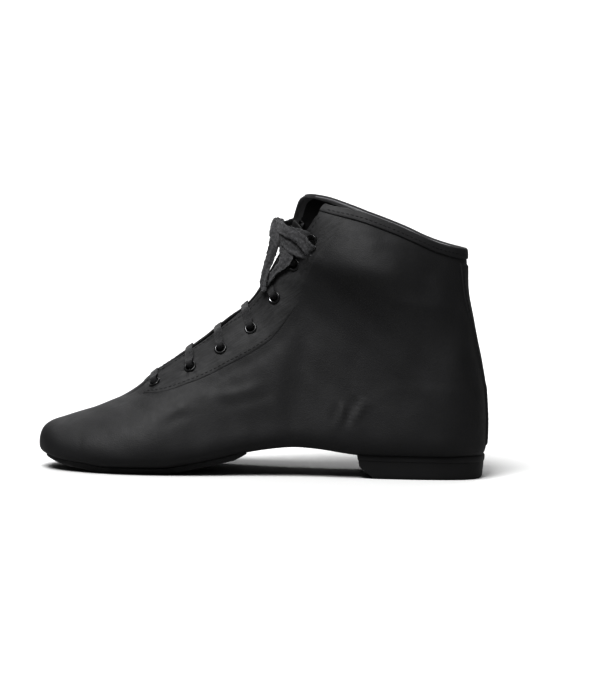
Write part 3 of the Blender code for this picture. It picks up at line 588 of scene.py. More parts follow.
def leather(name, tone, lighter, roughness, sheen, grain=GRAIN, brushed=False):
    """Soft grained leather: pebbles, finer pores and a slow change of tone and gloss, or brushed streaks."""
    finish = Finish(name, tone, roughness, LEATHER_GLOSS, sheen)
    wrinkle = finish.noise(210, 5, 0.62)
    finish.shine(wrinkle, roughness - 0.07, roughness + 0.07)
    finish.bump(wrinkle, 0.0006, 0.22)
    pebble = finish.node("TexVoronoi", "Distance", "Vector", finish.place, Scale=grain, Randomness=1)
    finish.bump(pebble, GRAIN_DEPTH, 0.5)
    finish.bump(finish.noise(grain * 2.4, 3, 0.7), GRAIN_DEPTH, 0.35)
    if brushed:
        turned = finish.node("Mapping", "Vector", "Vector", finish.place, vector_type="TEXTURE",
                             Rotation=STREAK_TURN, Scale=STREAK_LONG)
        slow = finish.noise(950, 4, 0.65, turned)
        finish.bump(slow, GRAIN_DEPTH, 0.8)
    else:
        slow = finish.noise(55, 4, 0.6)
    finish.colour(slow, (0.35, 0.7), tone, lighter)
    return finish.material


def rough_cloth(name, tone, lighter, roughness, sheen, scale, depth):
    """A napped or plain woven stuff: fine fibres over a slower mottling."""
    finish = Finish(name, tone, roughness, CLOTH_GLOSS, sheen)
    fibre = finish.noise(scale, 6, 0.75)
    finish.shine(fibre, roughness - 0.08, roughness + 0.08)
    finish.bump(fibre, depth, 0.6)
    finish.colour(finish.noise(scale / 12, 3), (0.3, 0.7), tone, lighter)
    return finish.material


def woven_lace(name, tone, lighter):
    """Flat braid: slanting ribs across the lace with fuzz on them. U runs along it and V across, in mm."""
    finish = Finish(name, tone, 0.85, LACE_GLOSS, 0.12, place="UV")
    ribs = finish.node("TexWave", "Fac", "Vector", finish.place, Scale=0.62, Distortion=2, Detail=2,
                       bands_direction="DIAGONAL")
    finish.bump(ribs, 0.00015, 0.4)
    tufts = finish.noise(0.7, 6, 0.78)
    finish.bump(tufts, 0.0006, 0.35)
    finish.bump(finish.noise(3.2, 7, 0.8), 0.0003, 0.7)
    finish.colour(tufts, (0.36, 0.68), tone, lighter)
    return finish.material


def lacquered(name, tone, metallic):
    finish = Finish(name, tone, 0.35, LACQUER_GLOSS, metallic=metallic)
    worn = finish.noise(700, 4)
    finish.shine(worn, 0.2, 0.42)
    finish.bump(worn, 0.0001, 0.2)
    return finish.material


LEATHER = leather("soft_leather", (0.005, 0.0055), (0.0074, 0.0081), 0.66, 0)
STAY_LEATHER = leather("stay_leather", (0.0036, 0.004), (0.0148, 0.0156), 0.68, 0.02, 1700, True)
# Painted light: the facing is the same black leather, but it is made far lighter so the inner faces near the
# rims read as lit although they lie in the boot's shade.
FACING_PAINTED_LIGHT = leather("facing_painted_light", (0.13, 0.134), (0.18, 0.185), 0.7, 0)
TONGUE_LEATHER = leather("tongue_leather_grain", (0.0028, 0.003), (0.0042, 0.0045), 0.7, 0)
LINING = rough_cloth("lining_weave", (0.01, 0.0106), (0.016, 0.0167), 0.9, 0, 1800, 0.0002)
# The sole's suede is partly its own grey and partly painted lighter, as painted light on its edge, which lies
# in the boot's shade near the floor.
SUEDE_PAINTED_LIGHTER = rough_cloth("suede", (0.025, 0.0257), (0.038, 0.039), 0.9, 0.05, 2200, 0.0003)
RUBBER = rough_cloth("rubber", (0.0056, 0.006), (0.0082, 0.0087), 0.65, 0, 900, 0.0001)
LACE = woven_lace("lace_braid", (0.012, 0.0126), (0.068, 0.0705))
# The bars are the same lace as the bow, painted darker as a shaded copy of it so they sink into the eyestay's
# tone.
BAR_LACE_PAINTED_SHADE = woven_lace("lace_bar_painted_shade", (0.0085, 0.009), (0.026, 0.0272))
METAL = lacquered("lacquer", (0.005, 0.0055), 0)
LIP = lacquered("worn_lip", (0.15, 0.155), 1)
THREAD = rough_cloth("thread", (0.0055, 0.0059), (0.0095, 0.01), 0.8, 0, 5000, 0.0001)


# Upper with its lining

STAY_COLUMNS, SIDE_COLUMNS, UNDER_COLUMNS = (16, 40, 18) if FINE else (8, 20, 8)
TOE_ROWS, ROW_STEP = (0.03, 0.1, 0.22, 0.4, 0.6, 0.8), 1.35 if FINE else 3
FACING_WIDE, FACING_FROM, RIM_ROUND = 6.5, 12.6, 0.35


def row_numbers():
    """Section numbers of mesh rows about even steps apart along the ridge and the back."""
    numbers, at = list(TOE_ROWS), 1
    while at < COLLAR:
        numbers.append(at)
        at += SECTION_STEP * ROW_STEP / max(0.5 * (stride(at, "ridge") + stride(at, "end")), 1e-3)
    return numbers + [COLLAR - 0.02, float(COLLAR)]


def column_places(n, side):
    whole = girth(n, side)
    stay = min(throat(n, "stay"), STAY_SHARE * whole)
    edge = even = stay + (whole - stay) * SIDE_COLUMNS / (SIDE_COLUMNS + UNDER_COLUMNS)
    turn = feather_index(half_section(min(n, FEATHER_LAST), side))
    if turn is not None:
        full = girth_line(min(n, FEATHER_LAST), side, True)[1]
        edge = whole - (full[-1] - full[turn])
    edge += (even - edge) * ease(FEATHER_LAST, COLLAR, n)
    return np.concatenate([
        np.linspace(0, stay, STAY_COLUMNS + 1),
        np.linspace(stay, edge, SIDE_COLUMNS + 1)[1:],
        np.linspace(edge, whole, UNDER_COLUMNS + 1)[1:],
    ])


def upper_normals(points, numbers):
    normals = grid_normals(points, -1)
    closed = numbers <= THROAT_BASE
    normals[closed, 0] = normals[closed, -1] = unit(normals[closed, 0] + normals[closed, -1])
    normals[0] = (-1, 0, 0)
    return normals


def build_upper():
    numbers = np.array(row_numbers())
    halves = [[surface(n, side, column_places(n, side)) for side in SIDES] for n in numbers]
    points = np.array([np.concatenate([inner, outer[-2::-1]]) for inner, outer in halves])
    points = points + relief(points)[..., None] * upper_normals(points, numbers)
    outer, inner = points.copy(), points - WALL * upper_normals(points, numbers)
    keep = open_holes(outer)
    open_holes(inner)
    middle = ((outer + inner) / 2).reshape(-1, 3)
    along, across = (unit(np.gradient(points, axis=axis)) for axis in (0, 1))
    rows, columns = points.shape[:2]
    count = rows * columns
    verts = [outer.reshape(-1, 3), inner.reshape(-1, 3)]
    faces = quads(rows, columns, 0, keep)
    lining = [f[::-1] for f in quads(rows, columns, count, keep)]
    run = run_along(inner, 1)
    # Lining faces near the rims get the facing tone, which is painted lighter as painted light.
    painted_lit_facing = (np.minimum(run, run[:, -1:] - run) < FACING_WIDE) & (numbers[:, None] > FACING_FROM)
    indices = [0] * len(faces) + [1 + int(painted_lit_facing.flat[min(f) - count]) for f in lining]
    faces += lining

    def rim(edge, out):
        base = sum(len(v) for v in verts)
        verts.append(middle[edge] + RIM_ROUND * WALL * out)
        for m, (a, b) in enumerate(zip(edge, edge[1:]), start=base):
            faces.extend([(a, b, m + 1, m), (m, m + 1, count + b, count + a)])
            indices.extend((0, 1))

    first = int(np.argmax(numbers > THROAT_BASE)) - 1
    rim([(rows - 1) * columns + c for c in range(columns)], along[-1])
    rim([r * columns for r in range(first, rows)], -across[first:, 0])
    rim([r * columns + columns - 1 for r in range(first, rows)], across[first:, -1])
    made = add_mesh("upper_skin", np.concatenate(verts), faces, (LEATHER, LINING, FACING_PAINTED_LIGHT), indices)
    return dress(made, "black_leather", "upper")


# Overlays on the upper: eyestays, collar binding, back strip

STAY_RISE, EDGE_ROUND, SUNK = 0.36, 1.7, 0.35
EDGE_PLACES = np.array([0, 0.18, 0.5, 1, 1.7])
STAY_FADE, STAY_FADE_REAR, STAY_FADE_SHARE = (9.3, 11), 0.45, 1.25
STAY_STEP, STAY_INSIDE = (1.2, 21) if FINE else (2.6, 10)
STAY_SEAM_REAR, STAY_SEAM_FRONT = 2, 2.2
BAND_PROFILE = (
    (5.8, -0.2), (5.8, 0.45), (5.55, 0.8), (5.1, 0.95), (3.4, 1), (1.4, 1), (0.6, 0.9), (0.1, 0.6),
    (-0.25, 0.15), (-0.45, -0.45), (-0.5, -0.9), (-0.35, -1.5), (0.05, -2), (0.7, -2.35), (1.6, -2.45),
    (5.2, -2.45), (5.7, -2.2), (5.8, -1.3),
)
BAND_SEAM, BAND_FACING = 4, 12
BAND_STATIONS = 90 if FINE else 40
BAND_DOWN, BAND_FRAME, BAND_END, BAND_CLOSED = 0.25, 0.06, 0.6, 0.995
SEAM_LIFT, SEAM_ENDS = 0.02, 3
STRIP_FIRST, STRIP_LAST = 12.45, 15.72
STRIP_HALF_LOW, STRIP_HALF_TOP, STRIP_RISE = 6.5, 11, 0.8
STRIP_ROWS, STRIP_COLUMNS, STRIP_STEP, STRIP_SEAM = 90 if FINE else 40, 20, 1.1, 1.8


def edged(length, inside):
    """Places along a length, close together near both ends."""
    even = np.linspace(EDGE_PLACES[-1], length - EDGE_PLACES[-1], inside)
    return np.concatenate([EDGE_PLACES[:-1], even, length - EDGE_PLACES[-2::-1]])


def rounded(distance, rise, radius=EDGE_ROUND):
    t = np.clip(distance / radius, 0, 1)
    return rise * np.sqrt(np.clip(1 - (1 - t) ** 2, 0, 1))


def overlay(name, points, flip, rise, finish, holes=False, fade=1):
    """A sheet on the upper with rounded edges, from points of the plain surface. Fade scales its rise."""
    base = points + relief(points)[..., None] * grid_normals(points, flip)
    normals = grid_normals(base, flip)
    high = base + (rounded(edge_distance(points), rise) * fade)[..., None] * normals
    low = base - SUNK * normals
    if not holes:
        return add_mesh(name, *plate(low, high), (finish,))
    rows, columns = points.shape[:2]
    faces = quads(rows, columns, 0, open_holes(high))
    edge = border(rows, columns) + [0]
    points = np.concatenate([high.reshape(-1, 3), low.reshape(-1, 3)[edge]])
    faces += [(b, a, i, i + 1) for i, (a, b) in enumerate(zip(edge, edge[1:]), start=rows * columns)]
    return add_mesh(name, points, faces, (finish,))


def seam_line(numbers, side, places, rise):
    """Points and normals of a stitch line on an overlay."""
    frames = [frames_at(n, side, p) for n, p in zip(numbers, places)]
    points, normals = (np.array([f[i][0] for f in frames]) for i in (0, 1))
    return points + (relief(points) + rise)[:, None] * normals, normals


def stay_rows():
    numbers, lengths = [STAY_FIRST], []
    while numbers[-1] < STAY_LAST:
        lengths.append(stride(numbers[-1], "ridge") / SECTION_STEP)
        numbers.append(numbers[-1] + STAY_STEP / max(lengths[-1], 1))
    first, last = lengths[0], lengths[-1]
    rows = [n for n in numbers if STAY_FIRST + 1 / first < n < STAY_LAST - 1 / last]
    return sorted({*rows, *(STAY_FIRST + EDGE_PLACES / first), *(STAY_LAST - EDGE_PLACES / last)})


def build_eyestays():
    seams, numbers = [], stay_rows()
    fade = ease(*STAY_FADE, np.array(numbers))[:, None]
    low, high = [n for n in numbers[6:-6] if n < STAY_FADE[0]], numbers[8:-6]
    for side, name in SIDES.items():
        grid = np.array([surface(n, side, edged(throat(n, "stay"), STAY_INSIDE)) for n in numbers])
        rear = ease(STAY_FADE_REAR, 1, np.linspace(0, 1, grid.shape[1]))[None, :]
        made = overlay("eyestay_cover_" + name, grid, side, STAY_RISE, STAY_LEATHER, True,
                       1 - STAY_FADE_SHARE * rear * fade)
        dress(made, "eyestay_leather", "eyestay_" + name)
        seams.append(seam_line(low, side, [throat(n, "stay") - STAY_SEAM_REAR for n in low], STAY_RISE))
        seams.append(seam_line(high, side, [STAY_SEAM_FRONT] * len(high), STAY_RISE))
    return seams


def build_collar_band():
    """Binding folded over the top edge, on the outside and the inside."""
    stations = [(INNER, share) for share in np.linspace(0, 1, BAND_STATIONS)]
    stations += [(OUTER, share) for share in np.linspace(1, 0, BAND_STATIONS)[1:]]
    base, normals = [], []
    for side, share in stations:
        def at(n):
            n = round(n, 4)
            return surface(n, side, share * girth(n, side))
        top, below = at(float(COLLAR)), at(COLLAR - BAND_DOWN)
        length, up = np.linalg.norm(top - below) / BAND_DOWN, unit(top - below)
        whole = girth(float(COLLAR), side)
        place = np.clip(share * whole, BAND_END, whole - BAND_END)
        normal = frames_at(COLLAR - BAND_FRAME, side, place)[1][0]
        base.append([at(COLLAR - down / length) if down > 0 else top - down * up for down, _ in BAND_PROFILE])
        normals.append(unit(normal * (1, 0, 1)) if share > BAND_CLOSED else normal)
    base, normals = np.array(base), np.array(normals)[:, None, :]
    rings = base + (relief(base) + np.array(BAND_PROFILE)[:, 1])[..., None] * normals
    count = len(BAND_PROFILE)
    # The band's inside faces get the facing tone, which is painted lighter as painted light.
    indices = [int(BAND_FACING <= c < count - 1) for _ in rings[1:] for c in range(count)] + [0, 0]
    made = add_mesh("collar_binding", rings, closed_rings(len(rings), count), (LEATHER, FACING_PAINTED_LIGHT), indices)
    dress(made, "black_leather", "collar_band")
    inside = slice(SEAM_ENDS, -SEAM_ENDS)
    return (rings[:, BAND_SEAM] + SEAM_LIFT * normals[:, 0])[inside], normals[inside, 0]


def build_back_strip():
    numbers = np.linspace(STRIP_FIRST, STRIP_LAST, STRIP_ROWS)
    shares = (numbers - STRIP_FIRST) / (STRIP_LAST - STRIP_FIRST)
    halves = STRIP_HALF_LOW + shares * (STRIP_HALF_TOP - STRIP_HALF_LOW)
    grid = []
    for n, half in zip(numbers, halves):
        places = edged(2 * half, max(3, round(2 * half / STRIP_STEP))) - half
        places = np.interp(np.linspace(0, 1, STRIP_COLUMNS), np.linspace(0, 1, len(places)), places)
        sides = [INNER if place <= 0 else OUTER for place in places]
        grid.append([surface(n, side, girth(n, side) - abs(place)) for side, place in zip(sides, places)])
    made = overlay("back_strip_cover", np.array(grid), -1, STRIP_RISE, LEATHER)
    dress(made, "black_leather", "back_strip")
    numbers, halves = numbers[SEAM_ENDS:-SEAM_ENDS], halves[SEAM_ENDS:-SEAM_ENDS]
    return [seam_line(numbers, side, [girth(n, side) - half + STRIP_SEAM for n, half in zip(numbers, halves)],
                      STRIP_RISE) for side in SIDES]


# Stitching: rings of one stitch by their share of its length, size and lift

STITCH, STITCH_GAP, STITCH_ROUND, STITCH_WIDE = 2, 0.7, 0.14, 1.25
STITCH_RINGS = (
    (0, 0.45, -0.12), (0.15, 0.9, 0.06), (0.5, 1, 0.12), (0.85, 0.9, 0.06), (1, 0.45, -0.12),
)
STITCH_ANGLES = 2 * math.pi * np.arange(6) / 6


def build_stitching(seams):
    """Small capsules along the seams."""
    points, faces = [], []
    for line, normals in seams:
        steps = run_along(line)
        at = STITCH_GAP
        while at + STITCH < steps[-1]:
            start, end = (interpolate(a, steps, line) for a in (at, at + STITCH))
            normal = unit(interpolate(at + STITCH / 2, steps, normals))
            wide = np.cross(normal, unit(end - start))
            faces += closed_rings(len(STITCH_RINGS), len(STITCH_ANGLES), len(points))
            for share, size, lift in STITCH_RINGS:
                centre = start + share * (end - start) + lift * normal
                for a in STITCH_ANGLES:
                    way = STITCH_WIDE * math.cos(a) * wide + math.sin(a) * normal
                    points.append(centre + STITCH_ROUND * size * way)
            at += STITCH + STITCH_GAP
    made = add_mesh("stitching", np.array(points), faces, (THREAD,), sharp=0)
    return dress(made, "lace_cotton")


# Tongue

TONGUE = ((4.6, 9), (5, 13), (6, 17), (7, 20), (8, 22), (9, 23), (10, 24),
          (11.2, 24.5), (12.2, 23), (12.7, 20.5), (13, 16.5), (13.15, 12.5))
TONGUE_TOP = TONGUE[-1][0]
TONGUE_STEP, TONGUE_LAST_ROWS = 0.12, np.array([0.3, 0.2, 0.12, 0.07, 0.03, 0])
TONGUE_THICK, TONGUE_INSIDE, TONGUE_THIN, TONGUE_ROUND = 1.6, 2.4, 0.45, 1.2
TONGUE_END, TONGUE_LAST_EDGE = 6, 0.05


def build_tongue():
    numbers = np.arange(TONGUE[0][0], TONGUE_TOP - 0.35, TONGUE_STEP)
    sections, halves = np.array(TONGUE).T
    shares = np.linspace(-1, 1, 41 if FINE else 21)
    low, high = [], []
    for n in np.concatenate([numbers, TONGUE_TOP - TONGUE_LAST_ROWS]):
        half = smooth_between(sections, halves, n, level=True)
        frames = [ridge_frame(n, s * half) for s in shares]
        points, normals = (np.array([f[i] for f in frames]) for i in (0, 1))
        edge = np.minimum((1 - np.abs(shares)) * half, (TONGUE_TOP - n) * TONGUE_END + TONGUE_LAST_EDGE)
        thick = TONGUE_THICK * (TONGUE_THIN + rounded(edge, 1 - TONGUE_THIN, TONGUE_ROUND))
        centre = points - (TONGUE_INSIDE + TONGUE_THICK / 2) * normals
        high.append(centre + thick[:, None] / 2 * normals)
        low.append(centre - thick[:, None] / 2 * normals)
    made = add_mesh("tongue_sheet", *plate(np.array(low), np.array(high)), (TONGUE_LEATHER,))
    return dress(made, "tongue_leather", "tongue")


# Soles and insole

SOLE_INSET, SOLE_REAR, SOLE_REAR_ROUND, SOLE_TAPER = 3.2, -14.5, 5, 14
SOLE_THICK, SOLE_FRONT_THICK, SOLE_LOW, GAP = 2.8, 1.3, 0.3, 0.1
SOLE_EDGE, SOLE_EDGE_WIDTH = 0.5, 0.9
INSOLE_INSET, INSOLE_REAR, INSOLE_BASE, INSOLE_THICK = 7.5, 113, 1.7, 2.2
INSOLE_REAR_ROUND, INSOLE_EDGE, INSOLE_EDGE_WIDTH = 2, 0.7, 1.5
SHEET_FRONT = 0.5
HEEL_BACK = 1.7
HEEL_STEPS, HEEL_FRONT_POINTS = 40 if FINE else 20, 12
# Leather turned down over the top of the heel: height from the heel's top, and distance out from its side
HEEL_RAND = (
    (-2.4, -0.3), (-2.4, 0.12), (-2.2, 0.3), (-1.6, 0.42), (-0.4, 0.5), (0.6, 0.45), (1.3, 0.1), (1.35, -1),
)
# Heel: height, distance in from the upper's edge, and place of its front
HEEL_LEVELS = (
    (0, 1.9, 63.4), (0.15, 1.4, 62.7), (0.5, 0.95, 61.9), (1, 0.6, 61), (2.5, 0.45, 58.8),
    (4.5, 0.25, 56), (6, 0.12, 54.3), (7, 0.05, 53.5), (9, -0.03, 53.2), (11, -0.1, 53),
    (11.85, -0.1, 53),
)
MIDDLE_ROWS = 6


def feather_edge(side):
    found = []
    for n in np.arange(0.2, COLLAR - 2, 0.05):
        points = half_section(round(float(n), 3), side)
        turn = feather_index(points)
        if turn is not None:
            deep = points[:, 2] - under(points[:, 0], points[:, 1])
            share = deep[turn - 1] / (deep[turn - 1] - deep[turn])
            found.append((points[turn - 1] + share * (points[turn] - points[turn - 1]))[:2])
    found = np.array(found)
    found = found[np.argsort(found[:, 0])]
    return np.vstack([found, (found[-1, 0] + HEEL_BACK, 0)])


FEATHER = {side: feather_edge(side) for side in SIDES}


def half_widths(inset):
    """How far the underside reaches to each side, moved in from its edge, and where that starts and ends."""
    middle_x, middle_y = (np.append(column(SECTIONS, SECTION_COLUMNS, name)[:MIDDLE_ROWS], 0)
                          for name in ("ridge_x", "middle"))
    places, offsets, inside = {}, {}, []
    for side, edge in FEATHER.items():
        along = unit(np.gradient(edge, axis=0))
        moved = edge + inset * (np.stack([-along[:, 1], along[:, 0]], axis=1) * -side)
        moved[-1] = (edge[-1, 0] - inset, 0)
        moved = moved[np.argsort(moved[:, 0])]
        places[side] = moved[:, 0]
        offsets[side] = side * (moved[:, 1] - np.interp(moved[:, 0], middle_x, middle_y))
        inside.append(places[side][offsets[side] >= 0])

    def width(x, side):
        offset = np.interp(x, places[side], offsets[side])
        return np.interp(x, middle_x, middle_y) + side * max(offset, 0)
    return width, max(x[0] for x in inside), min(x[-1] for x in inside)


def flat_grid(inset, rear, rows, columns, rear_round):
    width, first, last = half_widths(inset)
    start, stop = max(UNDER_X[0], first), min(rear, last)
    across = (1 - np.cos(np.linspace(0, math.pi, columns))) / 2
    grid = []
    for r in range(rows):
        share = 1 - math.cos(r / (rows - 1) * math.pi / 2)
        x = start + (stop - start) * share
        inner, outer = width(x, INNER), width(x, OUTER)
        bowed = x + rear_round * share**3 * (1 - (2 * across - 1) ** 2)
        grid.append(np.stack([bowed, inner + across * (outer - inner)], axis=1))
    return np.array(grid)


def edge_fall(grid, size, width):
    return size * (1 - np.clip(edge_distance(grid, SHEET_FRONT) / width, 0, 1)) ** 2


def build_forefoot_sole():
    grid = flat_grid(SOLE_INSET, SOLE_REAR, 110 if FINE else 40, 41, SOLE_REAR_ROUND)
    top = under(grid[..., 0], grid[..., 1])
    front = grid[0, 0, 0]
    taper = ease(front, front + SOLE_TAPER, grid[..., 0])
    thick = SOLE_FRONT_THICK + (SOLE_THICK - SOLE_FRONT_THICK) * taper
    bottom = np.maximum(top - SOLE_LOW - thick, 0) + edge_fall(grid, SOLE_EDGE, SOLE_EDGE_WIDTH)
    low, high = np.dstack([grid, bottom]), np.dstack([grid, top - GAP])
    made = add_mesh("sole_patch", *plate(low, high), (SUEDE_PAINTED_LIGHTER,))
    return dress(made, "sole_suede", "forefoot_sole")


def build_insole():
    grid = flat_grid(INSOLE_INSET, INSOLE_REAR, 80 if FINE else 30, 25, INSOLE_REAR_ROUND)
    base = under(grid[..., 0], grid[..., 1]) + INSOLE_BASE
    top = base + INSOLE_THICK - edge_fall(grid, INSOLE_EDGE, INSOLE_EDGE_WIDTH)
    made = add_mesh("insole_sheet", *plate(np.dstack([grid, base]), np.dstack([grid, top])), (LINING,))
    return dress(made, "lining", "insole")


def heel_ring(inset, front):
    """Outline of the heel, seen from above."""
    width, _, rear = half_widths(inset)
    xs = [front + (rear - front) * math.sin(k / HEEL_STEPS * math.pi / 2) for k in range(HEEL_STEPS + 1)]
    inner, outer = width(front, INNER), width(front, OUTER)
    flat = [(front, outer + (inner - outer) * s) for s in np.linspace(0, 1, HEEL_FRONT_POINTS)[1:-1]]
    return [(x, width(x, INNER)) for x in xs] + [(x, width(x, OUTER)) for x in reversed(xs[:-1])] + flat


def build_heel():
    def add_rings(name, rings, finish, sharp):
        faces = closed_rings(len(rings), len(rings[0]))
        return add_mesh(name, np.array(rings), faces, (finish,), sharp=sharp)

    rings = [[(x, y, height) for x, y in heel_ring(inset, front)] for height, inset, front in HEEL_LEVELS]
    rings[-1] = [(x, y, under(x, y) - GAP) for x, y, _ in rings[-1]]
    dress(add_rings("heel_block", rings, RUBBER, 35), "heel_rubber", "heel")
    _, inset, front = HEEL_LEVELS[-1]
    rings = [[(x, y, under(x, y) + rise) for x, y in heel_ring(inset - out, front - out)]
             for rise, out in HEEL_RAND]
    return dress(add_rings("heel_rand", rings, LEATHER, 50), "black_leather")


# Eyelets

EYELET_SEAT, EYELET_LIP = 0.5, 8
EYELETS_WORN = (2, 3, 4, 6)
EYELET_PROFILE = (
    (2.15, -2), (2.6, -2), (2.6, 0), (3.45, 0.05), (3.55, 0.18), (3.5, 0.42), (3.3, 0.62), (3, 0.72),
    (2.7, 0.66), (2.4, 0.48), (2.2, 0.15), (2.15, -0.4),
)


def build_eyelets():
    sides = 32 if FINE else 16
    count = len(EYELET_PROFILE)
    for side, k, spot, n, along in EYELET_SPOTS:
        x = unit(along - (along @ n) * n)
        y = np.cross(n, x)

        def ring(angles):
            return [math.cos(a) * x + math.sin(a) * y for a in angles]
        around = np.array([spot + EYELET_FLANGE * way for way in ring(np.arange(0, 6.28, 0.4))])
        seat = EYELET_SEAT + float(relief(around).mean())
        points = [spot + r * way + (h + seat) * n for way in ring(2 * math.pi * np.arange(sides) / sides)
                  for r, h in EYELET_PROFILE]
        faces = []
        for s in range(sides):
            for j, after in enumerate([*range(1, count), 0]):
                here, there = s * count, (s + 1) % sides * count
                faces.append((here + j, there + j, there + after, here + after))
        lips = [int(j >= EYELET_LIP and k in EYELETS_WORN) for _ in range(sides) for j in range(count)]
        name = f"{SIDES[side]}_{k + 1}"
        made = add_mesh("ring_" + name, np.array(points), faces, (METAL, LIP), lips, sharp=60)
        dress(made, "black_eyelet", "eyelet_" + name)


# Lace

LACE_WIDE, LACE_THICK, LACE_WAVE = 4.8, 0.8, 0.09
LACE_ROUND_POINTS, LACE_STEP, LACE_FUZZ, LACE_SQUARE = 36, 0.5, 0.05, 0.8
BAR_RISE = (
    (0.4, -3, 3.2), (0.9, 0.1, 3.3), (1.6, 1.35, 3.5), (2.6, 1.55, 4), (3.8, 1.2, 4.4), (5.6, 0.85, 4.7),
)
BAR_EDGE, BAR_EDGE_IN, BAR_THICK, BAR_FOLD = 0.9, 0.3, 0.66, 0.05


def ribbon(name, centres, flats, widths, thick=LACE_THICK, fold=0, finish=LACE):
    """A flat lace with round edges along centres, with face directions and widths. Fold: depth of creases."""
    centres, flats, widths = (np.asarray(v, float) for v in (centres, flats, widths))
    way = unit(np.gradient(centres, axis=0))
    wide = unit(np.cross(flats, way))
    face = unit(np.cross(way, wide))
    steps = run_along(centres)
    turn = np.linspace(0, 2 * math.pi, LACE_ROUND_POINTS, endpoint=False)
    across, rise = (np.sign(v) * np.abs(v) ** LACE_SQUARE for v in (np.cos(turn), np.sin(turn)))
    phase = 2 * len(name)
    wavy = 1 + LACE_WAVE * np.sin(steps * 1.7 + phase) * np.sin(steps * 0.61)
    crease = fold * np.cos(4 * across[None, :] + 0.22 * steps[:, None] + phase)
    crease += 0.5 * fold * np.cos(7 * across[None, :] - 0.31 * steps[:, None] + 1.7 * phase)
    points = centres[:, None] + (across * (wavy * widths / 2)[:, None])[..., None] * wide[:, None]
    points = points + (rise * thick / 2 + crease)[..., None] * face[:, None]
    points = points + np.random.default_rng(len(name)).normal(0, LACE_FUZZ, points.shape)
    uvs = np.stack(np.broadcast_arrays(steps[:, None], across * widths[:, None] / 2), axis=-1)
    faces = closed_rings(len(centres), LACE_ROUND_POINTS)
    return add_mesh(name, points, faces, (finish,), uvs=uvs.reshape(-1, 2), sharp=0)


def resample(*rows):
    """A smooth path through the first rows at even steps, with the other rows carried along."""
    steps = run_along(np.array(rows[0]))
    at = np.linspace(0, steps[-1], max(6, round(steps[-1] / LACE_STEP)))
    return [smooth_path(steps, values, at) for values in rows]


def build_bars():
    for k, (n, inset) in enumerate(EYELETS[:-1], start=1):
        ends = []
        for side in SIDES:
            edge = girth(n, side, True) - girth(n, side)
            places = [(edge + inset - towards, height, width) for towards, height, width in BAR_RISE]
            rows = []
            for across, height, width in places + [(edge + BAR_EDGE_IN, BAR_EDGE, LACE_WIDE)]:
                point, normal = ridge_frame(n, side * across)
                rows.append((point + height * normal, normal, (width,)))
            ends.append(rows)
        low, high = ends[0][-1], ends[1][-1]
        middle = [(low[0] + t * (high[0] - low[0]), unit(low[1] + t * (high[1] - low[1])), (LACE_WIDE,))
                  for t in (0.25, 0.5, 0.75)]
        path, flats, widths = resample(*zip(*ends[0], *middle, *ends[1][::-1]))
        made = ribbon(f"lace_over_{k}", path, flats, widths[:, 0], BAR_THICK, BAR_FOLD, BAR_LACE_PAINTED_SHADE)
        dress(made, "lace_cotton", f"lace_bar_{k}")


# Bow. Places are section number, distance from the ridge and height over the closed surface.

BOW_WIDE, BOW_THICK, BOW_FOLD = 6.4, 1.1, 0.3
KNOT_PLACE, KNOT_TURNS, KNOT_POINTS, KNOT_PITCH = (12.29, -1, 5.4), 1.1, 48, 7
KNOT_ROUND, KNOT_WIDE, KNOT_THICK = 2.4, 7, 2.2
TIES = {
    "tie_inner": (
        (12.35, -3.5, 4), (12.39, -7.7, 3.9), (12.82, -14.2, 2.9), (13.21, -20.4, 2.3), (13.36, -24, 2.1),
        (13.34, -26.2, 0.5), (13.3, -26.8, -3)),
    "tie_outer": (
        (12.35, 2, 4), (12.6, 6, 2.9), (13, 9.5, 2.3), (13.25, 12.2, 2), (13.3, 14.4, 0.5),
        (13.3, 15, -3)),
}
TIE_SHARES, TIE_WIDE = (0, 0.2, 0.75, 0.9, 1), (4, 4.2, 4, 3.4, 3.2)
# Each loop goes out over its front and comes back behind
LOOPS = {
    "loop_inner": (
        ((12.4, -3, 6.6), (12.62, -12.8, 6.8), (12.87, -19.5, 6.6), (12.96, -26.1, 6.2), (12.88, -30.2, 5.7)),
        ((12.44, -28, 3.7), (12.1, -23.1, 4.1), (11.85, -17.4, 4.5), (11.86, -12.1, 4.8), (12.07, -7.5, 5),
         (12.3, -3, 5.2))),
    "loop_outer": (
        ((12.4, 1.5, 6.6), (12.5, 8, 6.6), (12.52, 15, 6.4), (12.42, 21, 6), (12.32, 25, 5.6)),
        ((12.05, 24, 3.7), (11.7, 21.5, 4), (11.4, 16.5, 4.3), (11.5, 10.5, 4.6), (11.95, 5.5, 4.9),
         (12.3, 1.5, 5.2))),
}
LOOP_SHARES, LOOP_WIDE = (0, 0.2, 0.5, 0.8, 1), (6, 6.8, 7, 6.6, 5.8)
SIDE_END = (
    (12.4, -0.5, 4.6), (12.25, -4, 4.5), (12, -8.5, 4.2), (11.6, -12.8, 3.9), (11.2, -16.4, 3.7),
    (10.82, -16.4, 3.4), (10.38, -14.4, 3.1), (9.98, -13.6, 2.9), (9.73, -13.5, 2.8),
)
SIDE_END_WIDTHS = (5, 5.6, 6.8, 9, 9.6, 7.6, 4.8, 4.2, 2.4)
